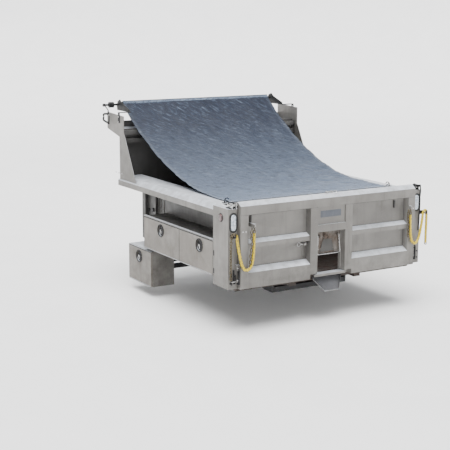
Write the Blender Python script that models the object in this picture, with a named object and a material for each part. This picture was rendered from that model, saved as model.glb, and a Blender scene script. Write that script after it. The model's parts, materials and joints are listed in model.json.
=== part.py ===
"""Dump body with a salt chute in its tailgate, on its own hinged subframe, with a roll tarp.

Metres, +Z up, +X to the right and +Y forward. The part's origin is under the middle of the rear
crossmember of the subframe, straight below the tilt hinge. Inside this file, sizes and places are
measured from the rear face and the bottom end of the corner posts, and DATUM moves them.
"""

import math

import bmesh
import bpy
from mathutils import Vector

# Overall sizes
WIDTH = 2.44
LENGTH = 2.50
SIDE_HEIGHT = 0.81
HALF = WIDTH / 2
HINGE_SETBACK = 0.35  # tilt hinge ahead of the rear face of the posts
POST_BASE = 0.20  # bottom of the posts above the underside of the subframe
DATUM = Vector((0, -HINGE_SETBACK, POST_BASE))

# Clearances
GAP = 0.0005  # between pieces that touch
SIDE_GAP = 0.004  # tailgate to corner post
DOOR_GAP = 0.003  # round a toolbox door
RUNNING = 0.0005  # radial, in a pivot
WELD = 0.0005  # overlap of welded shapes

# Sheet and plate
SKIN = 0.003
SHEET = 0.004
FLOOR = 0.004

# Corner posts and top rails
POST_WIDTH = 0.11
POST_DEPTH = 0.292
POST_WALL = 0.005
RAIL_HEIGHT = 0.105
RAIL_CHAMFER = (0.07, 0.045)  # across, down

# Bed
FLOOR_TOP = 0.06
BED_HALF = HALF - 0.295  # inside half width between the side walls
FLOOR_REAR = 0.045
SILL_DROP = 0.07
SILL_IN = 0.375
SILL_OUT = 0.455
SILL_WALL = 0.006
CROSSMEMBER = 0.04
CROSSMEMBERS = (0.26 * LENGTH, 0.46 * LENGTH, LENGTH - 0.20)
BULKHEAD_TOP = SIDE_HEIGHT + 0.55
BULKHEAD_RAILS = (
    (BULKHEAD_TOP - 0.065, BULKHEAD_TOP - 0.015), (BULKHEAD_TOP - 0.157, BULKHEAD_TOP - 0.109)
)
BULKHEAD_RAIL_DEPTH = 0.05
RIBS = (LENGTH - 0.46, LENGTH - 0.20)
RIB = (0.04, 0.04)  # along the bed, out from the wall

# Subframe and tilt hinge
HINGE_DROP = -0.01
SHAFT_RADIUS = 0.02
SHAFT_HALF = 0.50
SUBFRAME_HEIGHT = 0.125
SUBFRAME_WALL = 0.005
SUBFRAME_FRONT = LENGTH - 0.15
EAR = 0.02
HANGERS = (LENGTH - 0.70, LENGTH - 0.40)

# Hoist
HOIST_BASE = (0.46 * LENGTH, -0.11)  # y, z of the lower pivot
HOIST_TOP = (0.788 * LENGTH, 0.0)  # y, z of the upper pivot
BARREL_RADIUS = 0.045
ROD_RADIUS = 0.024
EYE_RADIUS = 0.032
EYE_HALF = 0.034
BARREL_LENGTH = 0.272 * LENGTH

# Toolboxes between the posts and the bulkhead, and the box under the body
BOX_FRONT = LENGTH - 0.66
BOX_LOW = 0.087
BOX_HIGH = 0.449
BOX_SEAM = 0.404 * LENGTH
DOOR_DEPTH = 0.0215
REAR_LATCH_Y = 0.2304 * LENGTH
FRONT_LATCH_Y = 0.5732 * LENGTH
LATCH_DROP = 0.10  # latch centre below the top of its door
UNDER_BOX_REAR = LENGTH - 0.83
UNDER_BOX_FRONT = LENGTH - 0.26
UNDER_BOX_LOW = -0.35
UNDER_BOX_HIGH = 0.06
UNDER_LATCH_Y = LENGTH - 0.526
CUP_RADIUS = 0.062
CUP_DEPTH = 0.014
CUP_WALL = 0.005
LATCH_HALF = 0.05
LATCH_WIDTH = 0.024
SPINDLE_RADIUS = 0.008

# Cab shield and tarp
SHIELD_OUT = HALF - 0.014
SHIELD_PLATE = 0.006
SHIELD_FRONT = LENGTH + 0.305
SHIELD_BASE = SIDE_HEIGHT + 0.46  # where the shield starts to lean over the cab
ROLLER_Y = LENGTH + 0.284
ROLLER_Z = SIDE_HEIGHT + 0.804
ROLLER_RADIUS = 0.03
ROLLER_WALL = 0.0045
ROLLER_HALF = HALF - 0.20
STUB_RADIUS = 0.012
BRACKET_IN = HALF - 0.16
BRACKET = 0.008
CRANK_OUT = HALF + 0.035
TARP_HALF = HALF - 0.20
TARP_REAR = 0.45
TARP_LOW = SIDE_HEIGHT + 0.0025
TARP_VERTEX = LENGTH - 1.90
TARP_THICKNESS = 0.004
TARP_SAG = 0.05
TARP_SAG_END = LENGTH - 0.18

# Tailgate
GATE_TOP = SIDE_HEIGHT + 0.06
GATE_OUT = -0.051
GATE_IN = 0.036
GATE_SKIN = 0.005
GATE_WALL = 0.004
GATE_POST = 0.09
GATE_HALF = HALF - POST_WIDTH - SIDE_GAP
TOP_RAIL_LOW = SIDE_HEIGHT - 0.065
TOP_RAIL_SLOPE = (0.051, 0.035)  # back, up
BOTTOM_RAIL = 0.16
BOTTOM_SHELF = 0.204
MID_RIB = (0.395, 0.487)
MID_RIB_FACE = (0.405, 0.455)
MID_RIB_OUT = -0.035
GATE_HINGE = (0.015, SIDE_HEIGHT + 0.03)  # y, z
GATE_PIN_RADIUS = 0.012
GATE_PIN_END = HALF - 0.035

# Chute in the tailgate
CHUTE_HALF = 0.175
CHUTE_POST = 0.09
CHUTE_POST_LOW = 0.05
OPENING_HALF = 0.15
OPENING_TOP = 0.25
CROSS_RAIL = (0.483, 0.56)
GUIDE_IN = 0.158
GUIDE = 0.008
DOOR_LOW = 0.242
DOOR_HIGH = 0.469
DOOR_PLATE = 0.008
BAIL_RADIUS = 0.006
BAIL_PIVOT = (0.125, 0.006, 0.43)
LOCK_PIN = (0.0, 0.37)  # y, z
LOCK_PIN_RADIUS = 0.006
RING_RADIUS = 0.02
LIP_HALF = 0.20
LIP_TOP = 0.036
LIP_REAR = -0.035
APRON_TOP_HALF = 0.18
APRON_LOW_HALF = 0.085
APRON_TOP = (0.038, -0.004)  # y, z
APRON_LOW = (-0.062, -0.145)
APRON_FLANGE = 0.018

# Lower latches, lights and chains
LATCH_X = (HALF - POST_WIDTH + 0.008, HALF - POST_WIDTH + 0.020)
LATCH_PIVOT = (-0.03, 0.22)
STUD = (-0.03, 0.085)
STUD_RADIUS = 0.012
OVAL_X = HALF - POST_WIDTH / 2 - 0.003
OVAL_Z = SIDE_HEIGHT - 0.137
OVAL_HALF = (POST_WIDTH / 2 - 0.009, 0.100)
LENS_HALF = (OVAL_HALF[0] - 0.018, 0.082)
MARKER_Y = 0.141
MARKER_Z = SIDE_HEIGHT - 0.101
MARKER_RADIUS = 0.04
CHAIN_RADIUS = 0.015
PEG_RADIUS = 0.008
LEFT_PEG = (0.042 - HALF, 0.535)
RIGHT_PEG = (HALF + 0.030, 0.555)
LEFT_LUG = 0.053 + GATE_POST - GATE_HALF
RIGHT_LUG = GATE_HALF - GATE_POST + 0.012
LUG_LOW = 0.620

ROUND = 24  # sides of a round piece
RAIL_LOW = SIDE_HEIGHT - RAIL_HEIGHT
DOOR_INNER = HALF - DOOR_DEPTH


def clear_scene():
    for obj in list(bpy.data.objects):
        bpy.data.objects.remove(obj, do_unlink=True)


def new_collection(name):
    found = bpy.data.collections.new(name)
    bpy.context.scene.collection.children.link(found)
    return found


def new_material(name, colour, roughness, metallic):
    material = bpy.data.materials.new(name)
    material.use_nodes = True
    shader = material.node_tree.nodes["Principled BSDF"]
    shader.inputs["Base Color"].default_value = (*colour, 1)
    shader.inputs["Roughness"].default_value = roughness
    shader.inputs["Metallic"].default_value = metallic
    return material


clear_scene()
PARTS = new_collection("salt_dump_body")
CUTTERS = new_collection("cutters")
STEEL = ("stainless", (0.55, 0.54, 0.52), 0.42, 0.9)
DOOR_STEEL = ("door_stainless", (0.60, 0.57, 0.54), 0.45, 0.85)
BLACK = ("black_steel", (0.02, 0.02, 0.022), 0.5, 0.3)
RUST = ("weathered_steel", (0.22, 0.16, 0.12), 0.75, 0.4)
CHROME = ("bright_steel", (0.7, 0.7, 0.7), 0.25, 1.0)
TARP = ("tarp", (0.16, 0.21, 0.27), 0.8, 0.0)
RUBBER = ("rubber", (0.015, 0.015, 0.015), 0.7, 0.0)
CLEAR = ("clear_lens", (0.75, 0.78, 0.8), 0.15, 0.0)
RED = ("red_lens", (0.35, 0.01, 0.01), 0.2, 0.0)
YELLOW = ("yellow_sleeve", (0.75, 0.55, 0.05), 0.45, 0.0)


def made(name, bm, centre):
    """An object from a bmesh that is centred on its own origin."""
    mesh = bpy.data.meshes.new(name)
    bmesh.ops.recalc_face_normals(bm, faces=bm.faces)
    bm.to_mesh(mesh)
    bm.free()
    obj = bpy.data.objects.new(name, mesh)
    obj.location = Vector(centre) + DATUM
    PARTS.objects.link(obj)
    return obj


def box(name, corner, opposite):
    low = Vector(map(min, corner, opposite))
    high = Vector(map(max, corner, opposite))
    bm = bmesh.new()
    bmesh.ops.create_cube(bm, size=1)
    bmesh.ops.scale(bm, vec=high - low, verts=bm.verts)
    return made(name, bm, (low + high) / 2)


def rod(name, start, end, radius, end_radius=None, sides=ROUND):
    start, end = Vector(start), Vector(end)
    bm = bmesh.new()
    bmesh.ops.create_cone(
        bm, cap_ends=True, segments=sides, radius1=radius,
        radius2=radius if end_radius is None else end_radius, depth=(end - start).length,
    )
    obj = made(name, bm, (start + end) / 2)
    obj.rotation_mode = "QUATERNION"
    obj.rotation_quaternion = (end - start).to_track_quat("Z", "Y")
    for polygon in obj.data.polygons:
        polygon.use_smooth = len(polygon.vertices) == 4
    return obj


def bar(name, start, end, width, height, up=(0, 0, 1)):
    """A box from start to end, width across and height along up."""
    start, end = Vector(start), Vector(end)
    bm = bmesh.new()
    bmesh.ops.create_cube(bm, size=1)
    bmesh.ops.scale(bm, vec=(width, height, (end - start).length), verts=bm.verts)
    obj = made(name, bm, (start + end) / 2)
    along = (end - start).normalized()
    across = Vector(up).cross(along).normalized()
    upward = along.cross(across)
    obj.rotation_mode = "QUATERNION"
    turn = obj.rotation_quaternion.to_matrix()
    for row in range(3):
        turn[row] = (across[row], upward[row], along[row])
    obj.rotation_quaternion = turn.to_quaternion()
    return obj


def mesh_of_curve(name, curve, centre, turn=(0, 0, 0)):
    """The curve's mesh with its caps welded on, as an object turned and placed."""
    guide = bpy.data.objects.new(name + "_curve", curve)
    PARTS.objects.link(guide)
    bpy.context.view_layer.update()
    evaluated = guide.evaluated_get(bpy.context.evaluated_depsgraph_get())
    mesh = bpy.data.meshes.new_from_object(evaluated)
    bpy.data.objects.remove(guide, do_unlink=True)
    bm = bmesh.new()
    bm.from_mesh(mesh)
    bmesh.ops.remove_doubles(bm, verts=bm.verts, dist=0.00001)
    bpy.data.meshes.remove(mesh)
    obj = made(name, bm, centre)
    obj.rotation_euler = turn
    return obj


def prism(name, outline, axis, low, high):
    """A flat outline, given in the two other axes, that runs from low to high along an axis."""
    curve = bpy.data.curves.new(name, "CURVE")
    curve.dimensions = "2D"
    curve.fill_mode = "BOTH"
    curve.extrude = abs(high - low) / 2
    spline = curve.splines.new("POLY")
    spline.points.add(len(outline) - 1)
    for point, (u, v) in zip(spline.points, outline):
        point.co = (u, v, 0, 1)
    spline.use_cyclic_u = True
    middle = (low + high) / 2
    quarter = math.pi / 2
    if axis == "X":
        return mesh_of_curve(name, curve, (middle, 0, 0), (quarter, 0, quarter))
    if axis == "Y":
        return mesh_of_curve(name, curve, (0, middle, 0), (quarter, 0, 0))
    return mesh_of_curve(name, curve, (0, 0, middle))


def tube(name, points, radius, resolution=2, cyclic=False):
    """A bent rod through the points, or a ring."""
    curve = bpy.data.curves.new(name, "CURVE")
    curve.dimensions = "3D"
    curve.bevel_depth = radius
    curve.bevel_resolution = resolution
    curve.use_fill_caps = not cyclic
    spline = curve.splines.new("POLY")
    spline.points.add(len(points) - 1)
    for point, place in zip(spline.points, points):
        point.co = (*place, 1)
    spline.use_cyclic_u = cyclic
    return mesh_of_curve(name, curve, (0, 0, 0))


def smooth_route(points, steps):
    """Points on a smooth curve through the given ones."""
    places = [Vector(point) for point in points]
    places = [2 * places[0] - places[1], *places, 2 * places[-1] - places[-2]]
    route = []
    for before, start, end, after in zip(places, places[1:], places[2:], places[3:]):
        for step in range(steps):
            t = step / steps
            route.append(
                0.5 * (2 * start + (end - before) * t
                + (2 * before - 5 * start + 4 * end - after) * t * t
                + (3 * start - before - 3 * end + after) * t ** 3)
            )
    return [*route, places[-2]]


def rounded_bar(centre, half, sides=8):
    """Outline of a slot with round ends, upright, about a centre."""
    u, v = centre
    radius, reach = half[0], half[1] - half[0]
    points = []
    for end, start in ((1, 0), (-1, math.pi)):
        for step in range(sides + 1):
            angle = start + math.pi * step / sides
            points.append((u + radius * math.cos(angle), v + end * reach + radius * math.sin(angle)))
    return points


def as_tool(tool, base):
    PARTS.objects.unlink(tool)
    CUTTERS.objects.link(tool)
    tool.hide_render = True
    tool.display_type = "WIRE"
    bpy.context.view_layer.update()
    tool.parent = base
    tool.matrix_parent_inverse = base.matrix_world.inverted()


def combine(base, tools, operation):
    for tool in tools:
        as_tool(tool, base)
        boolean = base.modifiers.new(tool.name, "BOOLEAN")
        boolean.operation = operation
        boolean.object = tool
    return base


def weld(base, *tools):
    return combine(base, tools, "UNION")


def cut(base, *tools):
    return combine(base, tools, "DIFFERENCE")


def pivot(name, place, parent=None):
    """An empty on a joint's axis."""
    empty = bpy.data.objects.new(name, None)
    empty.empty_display_size = 0.1
    empty.location = Vector(place) + DATUM
    PARTS.objects.link(empty)
    if parent:
        carry(empty, parent)
    return empty


def carry(obj, parent):
    bpy.context.view_layer.update()
    obj.parent = parent
    obj.matrix_parent_inverse = parent.matrix_world.inverted()


def finish(obj, finish_of, parent=None):
    name = finish_of[0]
    material = bpy.data.materials.get(name) or new_material(*finish_of)
    obj.data.materials.append(material)
    if parent:
        carry(obj, parent)
    return obj


def side_name(side):
    return "left" if side < 0 else "right"


def both_sides():
    return (-1, 1)


# Subframe, tilt hinge and hoist


def subframe():
    low = -POST_BASE
    high = low + SUBFRAME_HEIGHT
    wall = SUBFRAME_WALL
    ear_in = SILL_OUT + DOOR_GAP + GAP
    ear_out = ear_in + EAR
    rail_in, rail_out = SILL_IN + wall, ear_in + WELD * 3
    rail_rear = HINGE_SETBACK + 0.05
    base = box(
        "subframe", (-ear_out, HINGE_SETBACK - 0.02, low), (ear_out, rail_rear + 0.01, low + 0.055)
    )
    pieces = []
    hollows = []
    for side in both_sides():
        pieces.append(
            box("rail", (side * rail_in, rail_rear, low), (side * rail_out, SUBFRAME_FRONT, high))
        )
        hollows.append(
            box(
                "rail_inside", (side * (rail_in + wall), rail_rear + 0.02, low + wall),
                (side * (rail_out - wall), SUBFRAME_FRONT + 0.01, high - wall),
            )
        )
        outline = [
            (HINGE_SETBACK - 0.02, low), (HINGE_SETBACK + 0.14, low),
            (HINGE_SETBACK + 0.14, high - 0.005), (HINGE_SETBACK + 0.03, HINGE_DROP + 0.035),
            (HINGE_SETBACK - 0.03, HINGE_DROP + 0.035), (HINGE_SETBACK - 0.035, HINGE_DROP - 0.03),
        ]
        pieces.append(prism("hinge_ear", outline, "X", side * ear_in, side * ear_out))
        for y in HANGERS:
            pieces.append(
                box(
                    "hanger", (side * (rail_out - 0.002), y - 0.025, low + 0.01),
                    (side * (BED_HALF + SHEET), y + 0.025, low + 0.06),
                )
            )
    for y, top in ((HOIST_BASE[0], 0.04), (SUBFRAME_FRONT - 0.06, 0.09)):
        pieces.append(
            box("crossmember", (-rail_in - 0.002, y - 0.05, low), (rail_in + 0.002, y + 0.05, low + top))
        )
    ear_low = low + 0.035
    for side in both_sides():
        inner = side * (EYE_RADIUS + 0.021)
        pieces.append(
            box(
                "hoist_ear", (inner, HOIST_BASE[0] - 0.035, ear_low),
                (inner + side * 0.012, HOIST_BASE[0] + 0.035, HOIST_BASE[1] + 0.035),
            )
        )
    weld(base, *pieces)
    shaft = rod(
        "shaft_hole", (-HALF, HINGE_SETBACK, HINGE_DROP), (HALF, HINGE_SETBACK, HINGE_DROP),
        SHAFT_RADIUS + RUNNING,
    )
    cut(base, *hollows, shaft)
    hoist_pin = rod(
        "hoist_pin", (-0.0665, *HOIST_BASE), (0.0665, *HOIST_BASE), 0.014, sides=16
    )
    weld(base, hoist_pin)
    return finish(base, BLACK)


def hinge_shaft():
    place = (HINGE_SETBACK, HINGE_DROP)
    shaft = rod("hinge_shaft", (-SHAFT_HALF, *place), (SHAFT_HALF, *place), SHAFT_RADIUS)
    return finish(shaft, CHROME)


def hoist():
    base, top = Vector((0, *HOIST_BASE)), Vector((0, *HOIST_TOP))
    along = (top - base).normalized()
    swing = pivot("hoist_swing", base)
    barrel = rod("hoist_barrel", base + along * 0.02, base + along * BARREL_LENGTH, BARREL_RADIUS)
    weld(
        barrel,
        rod("eye", (-0.045, *HOIST_BASE), (0.045, *HOIST_BASE), EYE_RADIUS + 0.003),
        rod(
            "gland", base + along * (BARREL_LENGTH - 0.03), base + along * (BARREL_LENGTH + 0.012),
            BARREL_RADIUS - 0.008,
        ),
    )
    cut(
        barrel,
        rod("bore", base + along * 0.09, base + along * (BARREL_LENGTH + 0.05), ROD_RADIUS + RUNNING),
        rod("pin_hole", (-0.1, *HOIST_BASE), (0.1, *HOIST_BASE), 0.014 + RUNNING, sides=16),
    )
    finish(barrel, BLACK, swing)
    slide = pivot("hoist_slide", base, swing)
    piston = rod("hoist_rod", base + along * 0.12, top - along * 0.01, ROD_RADIUS)
    weld(piston, rod("eye", (-EYE_HALF, *HOIST_TOP), (EYE_HALF, *HOIST_TOP), EYE_RADIUS))
    finish(piston, CHROME, slide)


# The bed


def bed_floor(bed):
    post_in = HALF - POST_WIDTH
    rear_front = POST_DEPTH - 0.008 - GAP
    reach = BED_HALF + SHEET
    front = LENGTH - 0.0395
    outline = [
        (-post_in + SIDE_GAP, FLOOR_REAR), (post_in - SIDE_GAP, FLOOR_REAR),
        (post_in - SIDE_GAP, rear_front), (reach, rear_front), (reach, front),
        (-reach, front), (-reach, rear_front), (-post_in + SIDE_GAP, rear_front),
    ]
    floor = prism("bed_floor", outline, "Z", FLOOR_TOP - FLOOR, FLOOR_TOP)
    under = FLOOR_TOP - FLOOR + WELD
    pieces = []
    hollows = []
    rear_half = post_in - SIDE_GAP
    pieces.append(
        box("rear_sill", (-rear_half, FLOOR_REAR, -0.04), (rear_half, FLOOR_REAR + 0.04, under))
    )
    for y in CROSSMEMBERS:
        half = BED_HALF
        pieces.append(box("crossmember", (-half, y, -0.01), (half, y + CROSSMEMBER, under)))
    for side in both_sides():
        pieces.append(
            box(
                "sill", (side * SILL_IN, FLOOR_REAR, -SILL_DROP), (side * SILL_OUT, front, under)
            )
        )
        hollows.append(
            box(
                "sill_inside", (side * (SILL_IN + SILL_WALL), FLOOR_REAR + 0.06, SILL_WALL - SILL_DROP),
                (side * (SILL_OUT - SILL_WALL), front + 0.01, FLOOR_TOP - 0.012),
            )
        )
        inner = side * (EYE_HALF + 0.002)
        pieces.append(
            box(
                "hoist_bracket", (inner, HOIST_TOP[0] - 0.05, HOIST_TOP[1] - 0.04),
                (inner + side * 0.01, HOIST_TOP[0] + 0.05, under),
            )
        )
    weld(floor, *pieces)
    place = (HINGE_SETBACK, HINGE_DROP)
    cut(
        floor, *hollows,
        rod("shaft_hole", (-HALF, *place), (HALF, *place), SHAFT_RADIUS + 3 * RUNNING),
        rod("top_pin_hole", (-0.1, *HOIST_TOP), (0.1, *HOIST_TOP), 0.0125, sides=16),
    )
    return finish(floor, RUST, bed)


def side_wall(side, bed):
    inner, outer = side * BED_HALF, side * (BED_HALF + SHEET)
    rear_low = POST_DEPTH - 0.008
    post_in = side * (HALF - POST_WIDTH - GAP)
    front = LENGTH - 0.0395
    outline = [
        (inner, front), (inner, rear_low), (post_in, rear_low), (post_in, rear_low + SHEET),
        (outer, rear_low + SHEET), (outer, front),
    ]
    low, high = FLOOR_TOP + GAP, SIDE_HEIGHT - 0.0055
    wall = prism(f"side_wall_{side_name(side)}", outline, "Z", low, high)
    ribs = [
        box(
            "rib", (outer - side * WELD, y, low), (outer + side * RIB[1], y + RIB[0], RAIL_LOW - 0.005)
        )
        for y in RIBS
    ]
    weld(wall, *ribs)
    return finish(wall, STEEL, bed)


def top_rail(side, bed):
    across, down = RAIL_CHAMFER
    inner = BED_HALF + SHEET + GAP
    top, low, wall = SIDE_HEIGHT, RAIL_LOW, SHEET
    outer = [
        (HALF, low), (HALF, top - down), (HALF - across, top), (BED_HALF, top),
    ]
    inside = [
        (BED_HALF, top - wall), (HALF - across - 0.0015, top - wall),
        (HALF - wall, top - down - 0.0022), (HALF - wall, low + wall), (inner, low + wall),
        (inner, low),
    ]
    outline = [(side * x, z) for x, z in outer + inside]
    rear = POST_DEPTH + GAP
    rail = prism(f"top_rail_{side_name(side)}", outline, "Y", rear, LENGTH)
    cap = [(side * x, z) for x, z in outer[:3] + [(inner, top), (inner, low)]]
    weld(rail, prism("rail_cap", cap, "Y", LENGTH - wall, LENGTH + WELD))
    return finish(rail, STEEL, bed)


def corner_post(side, bed):
    inner = HALF - POST_WIDTH
    post = box(
        f"corner_post_{side_name(side)}", (side * inner, 0, 0), (side * HALF, POST_DEPTH, SIDE_HEIGHT)
    )
    wall = POST_WALL
    hollow = box(
        "post_inside", (side * (inner + wall), wall, -0.01),
        (side * (HALF - wall), POST_DEPTH - wall, SIDE_HEIGHT - wall),
    )
    hole = prism(
        "light_hole",
        rounded_bar((side * OVAL_X, OVAL_Z), (OVAL_HALF[0] - 0.006, OVAL_HALF[1] - 0.006)),
        "Y", -0.02, 0.02,
    )
    cut(post, hollow, hole)
    y, z = LATCH_PIVOT
    ears = []
    inside, outside = LATCH_X
    for start, end in ((inside - 0.0075, inside - 0.0005), (outside + 0.0005, outside + 0.008)):
        ears.append(box("latch_ear", (side * start, y - 0.018, z - 0.03), (side * end, 0.001, z + 0.03)))
    ears.append(
        rod("latch_pin", (side * (LATCH_X[0] - 0.002), y, z), (side * (LATCH_X[1] + 0.002), y, z), 0.007,
            sides=16)
    )
    weld(post, *ears)
    return finish(post, STEEL, bed)


def bulkhead(bed):
    low_half, half = BED_HALF - GAP, SHIELD_OUT - SHIELD_PLATE - 0.001
    step, low = SIDE_HEIGHT + 0.001, FLOOR_TOP + GAP
    rear = LENGTH - 0.039
    plate = box("bulkhead", (-half, rear, step), (half, rear + SHEET, BULKHEAD_TOP))
    rails = [box("lower_sheet", (-low_half, rear, low), (low_half, rear + SHEET, step + WELD))]
    back, face = rear + WELD, rear - BULKHEAD_RAIL_DEPTH
    for z0, z1 in BULKHEAD_RAILS:
        channel = [
            (back, z0), (face, z0), (face, z1), (back, z1), (back, z1 - SHEET),
            (face + SHEET, z1 - SHEET), (face + SHEET, z0 + SHEET), (back, z0 + SHEET),
        ]
        rails.append(prism("bulkhead_rail", channel, "X", 0.003 - half, half - 0.003))
    weld(plate, *rails)
    return finish(plate, STEEL, bed)


# Cab shield, tarp and its roller


def shield_plate(side, bed):
    across, down = RAIL_CHAMFER
    foot = SIDE_HEIGHT - down + down * (HALF - SHIELD_OUT + SHIELD_PLATE) / across + 0.001
    base = SHIELD_BASE
    outline = [
        (LENGTH - 0.44, foot), (LENGTH - 0.17, base), (LENGTH - 0.14, base + 0.05),
        (LENGTH - 0.14, base + 0.245), (SHIELD_FRONT, base + 0.266),
        (SHIELD_FRONT, base + 0.071), (LENGTH - 0.02, base), (LENGTH - 0.02, foot),
    ]
    plate = prism(
        f"shield_plate_{side_name(side)}", outline, "X", side * (SHIELD_OUT - SHIELD_PLATE),
        side * SHIELD_OUT,
    )
    return finish(plate, STEEL, bed)


def cab_shield(bed):
    half = SHIELD_OUT - SHIELD_PLATE - GAP
    rear, front = LENGTH - 0.0345, SHIELD_FRONT - 0.005
    base = SHIELD_BASE
    outline = [
        (rear, base + 0.002), (front, base + 0.075), (front, base + 0.15),
        (front - SHEET, base + 0.15), (front - SHEET, base + 0.0783), (rear, base + 0.006),
    ]
    return finish(prism("cab_shield", outline, "X", -half, half), STEEL, bed)


def tarp_bracket(side, bed):
    name = side_name(side)
    inner = side * BRACKET_IN
    outer = inner + side * BRACKET
    foot = ROLLER_Z - 0.069
    leg_rear, leg_front = LENGTH - 0.045, LENGTH
    outline = [
        (LENGTH - 0.02, foot), (LENGTH + 0.32, foot), (LENGTH + 0.335, foot + 0.055),
        (LENGTH + 0.31, foot + 0.105), (LENGTH + 0.25, foot + 0.13), (LENGTH + 0.20, foot + 0.095),
        (LENGTH, foot + 0.03),
    ]
    bracket = prism(f"tarp_bracket_{name}", outline, "X", inner, outer)
    leg_in, leg_out = side * (SHIELD_OUT + GAP), side * (SHIELD_OUT + 0.006)
    weld(
        bracket,
        box("arm", (inner, leg_rear, foot), (leg_out, leg_front, foot + BRACKET)),
        box("leg", (leg_in, leg_rear, foot - 0.115), (leg_out, leg_front, foot + BRACKET)),
    )
    cut(
        bracket,
        rod("roller_hole", (inner - side * 0.05, ROLLER_Y, ROLLER_Z),
            (outer + side * 0.05, ROLLER_Y, ROLLER_Z), STUB_RADIUS + RUNNING),
        box("slot", (leg_in - side * 0.05, leg_rear + 0.016, foot - 0.095),
            (leg_out + side * 0.05, leg_front - 0.016, foot - 0.015)),
    )
    return finish(bracket, BLACK, bed)


def tarp_roller(bed):
    turn = pivot("tarp_roller_turn", (0, ROLLER_Y, ROLLER_Z), bed)
    axle = (ROLLER_Y, ROLLER_Z)
    roller = rod("tarp_roller", (-ROLLER_HALF, *axle), (ROLLER_HALF, *axle), ROLLER_RADIUS)
    stub_end = BRACKET_IN + BRACKET + 0.02
    weld(roller, rod("stub", (ROLLER_HALF - 0.01, *axle), (stub_end, *axle), STUB_RADIUS))
    bore = ROLLER_RADIUS - ROLLER_WALL
    cut(roller, rod("bore", (-ROLLER_HALF - 0.01, *axle), (ROLLER_HALF - 0.02, *axle), bore))
    finish(roller, BLACK, turn)
    plug_end = 0.07 - ROLLER_HALF
    crank = rod("tarp_crank", (plug_end - 0.005, *axle), (-CRANK_OUT, *axle), STUB_RADIUS)
    plug = rod("plug", (0.005 - ROLLER_HALF, *axle), (plug_end, *axle), bore - GAP)
    bends = (
        (-0.002, 0.004), (-0.044, -0.014), (-0.114, -0.049), (-0.129, -0.089), (0.006, -0.104),
        (0.016, -0.179), (-0.129, -0.204), (-0.139, -0.114),
    )
    grip = [(-CRANK_OUT, ROLLER_Y + y, ROLLER_Z + z) for y, z in bends]
    weld(
        crank, plug,
        rod("knob", (0.03 - HALF, *axle), (0.085 - HALF, *axle), 0.034),
        tube("handle", grip, 0.007),
        rod("boss", (-CRANK_OUT - 0.012, *axle), (-CRANK_OUT + 0.012, *axle), 0.018),
    )
    finish(crank, BLACK, turn)


def tarp_height(x, y):
    """Height of the tarp's lower face: a parabola that sags more towards the right side."""
    rise = ROLLER_Z - 0.012 - TARP_LOW
    curve = TARP_LOW + rise * max(0, (y - TARP_VERTEX) / (ROLLER_Y - TARP_VERTEX)) ** 2
    along = min(1, (y - TARP_REAR) / (TARP_SAG_END - TARP_REAR))
    sag = TARP_SAG * 4 * along * (1 - along) * (0.5 + 0.5 * x / TARP_HALF)
    return max(TARP_LOW, curve - sag)


def tarp(bed):
    columns, rows = 4, 18
    front = ROLLER_Y - ROLLER_RADIUS - 0.006
    bm = bmesh.new()
    bmesh.ops.create_grid(bm, x_segments=columns, y_segments=rows, size=0.5)
    for vertex in bm.verts:
        x = vertex.co.x * 2 * TARP_HALF
        y = TARP_REAR + (vertex.co.y + 0.5) * (front - TARP_REAR)
        vertex.co = (x, y, tarp_height(x, y))
    top = bmesh.ops.extrude_face_region(bm, geom=bm.faces)["geom"]
    raised = [item for item in top if isinstance(item, bmesh.types.BMVert)]
    bmesh.ops.translate(bm, verts=raised, vec=(0, 0, TARP_THICKNESS))
    return finish(made("tarp", bm, (0, 0, 0)), TARP, bed)


def tarp_hook(side, bed):
    x, y, z = side * BRACKET_IN, 0.34, SIDE_HEIGHT
    points = [
        (x, y, z + 0.001), (x, y, z + 0.03), (x - side * 0.01, y, z + 0.045),
        (x - side * 0.035, y, z + 0.05), (x - side * 0.05, y, z + 0.035),
    ]
    hook = tube(f"tarp_hook_{side_name(side)}", points, 0.005)
    weld(hook, box("pad", (x - 0.02, y - 0.02, z + GAP), (x + 0.02, y + 0.02, z + 0.005)))
    return finish(hook, BLACK, bed)


# Toolboxes


def box_shell(name, side, rear, front, low, high, dividers):
    inner, outer = BED_HALF + SHEET + GAP, DOOR_INNER - GAP
    shell = box(name, (side * inner, rear, low), (side * outer, front, high))
    edges = [rear, *dividers, front]
    rooms = []
    for start, end in zip(edges, edges[1:]):
        rooms.append(
            box(
                "room", (side * (inner + SKIN), start + SKIN / 2 * (1 + (start == rear)), low + SKIN),
                (side * (outer + 0.01), end - SKIN / 2 * (1 + (end == front)), high - SKIN),
            )
        )
    return cut(shell, *rooms)


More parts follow.
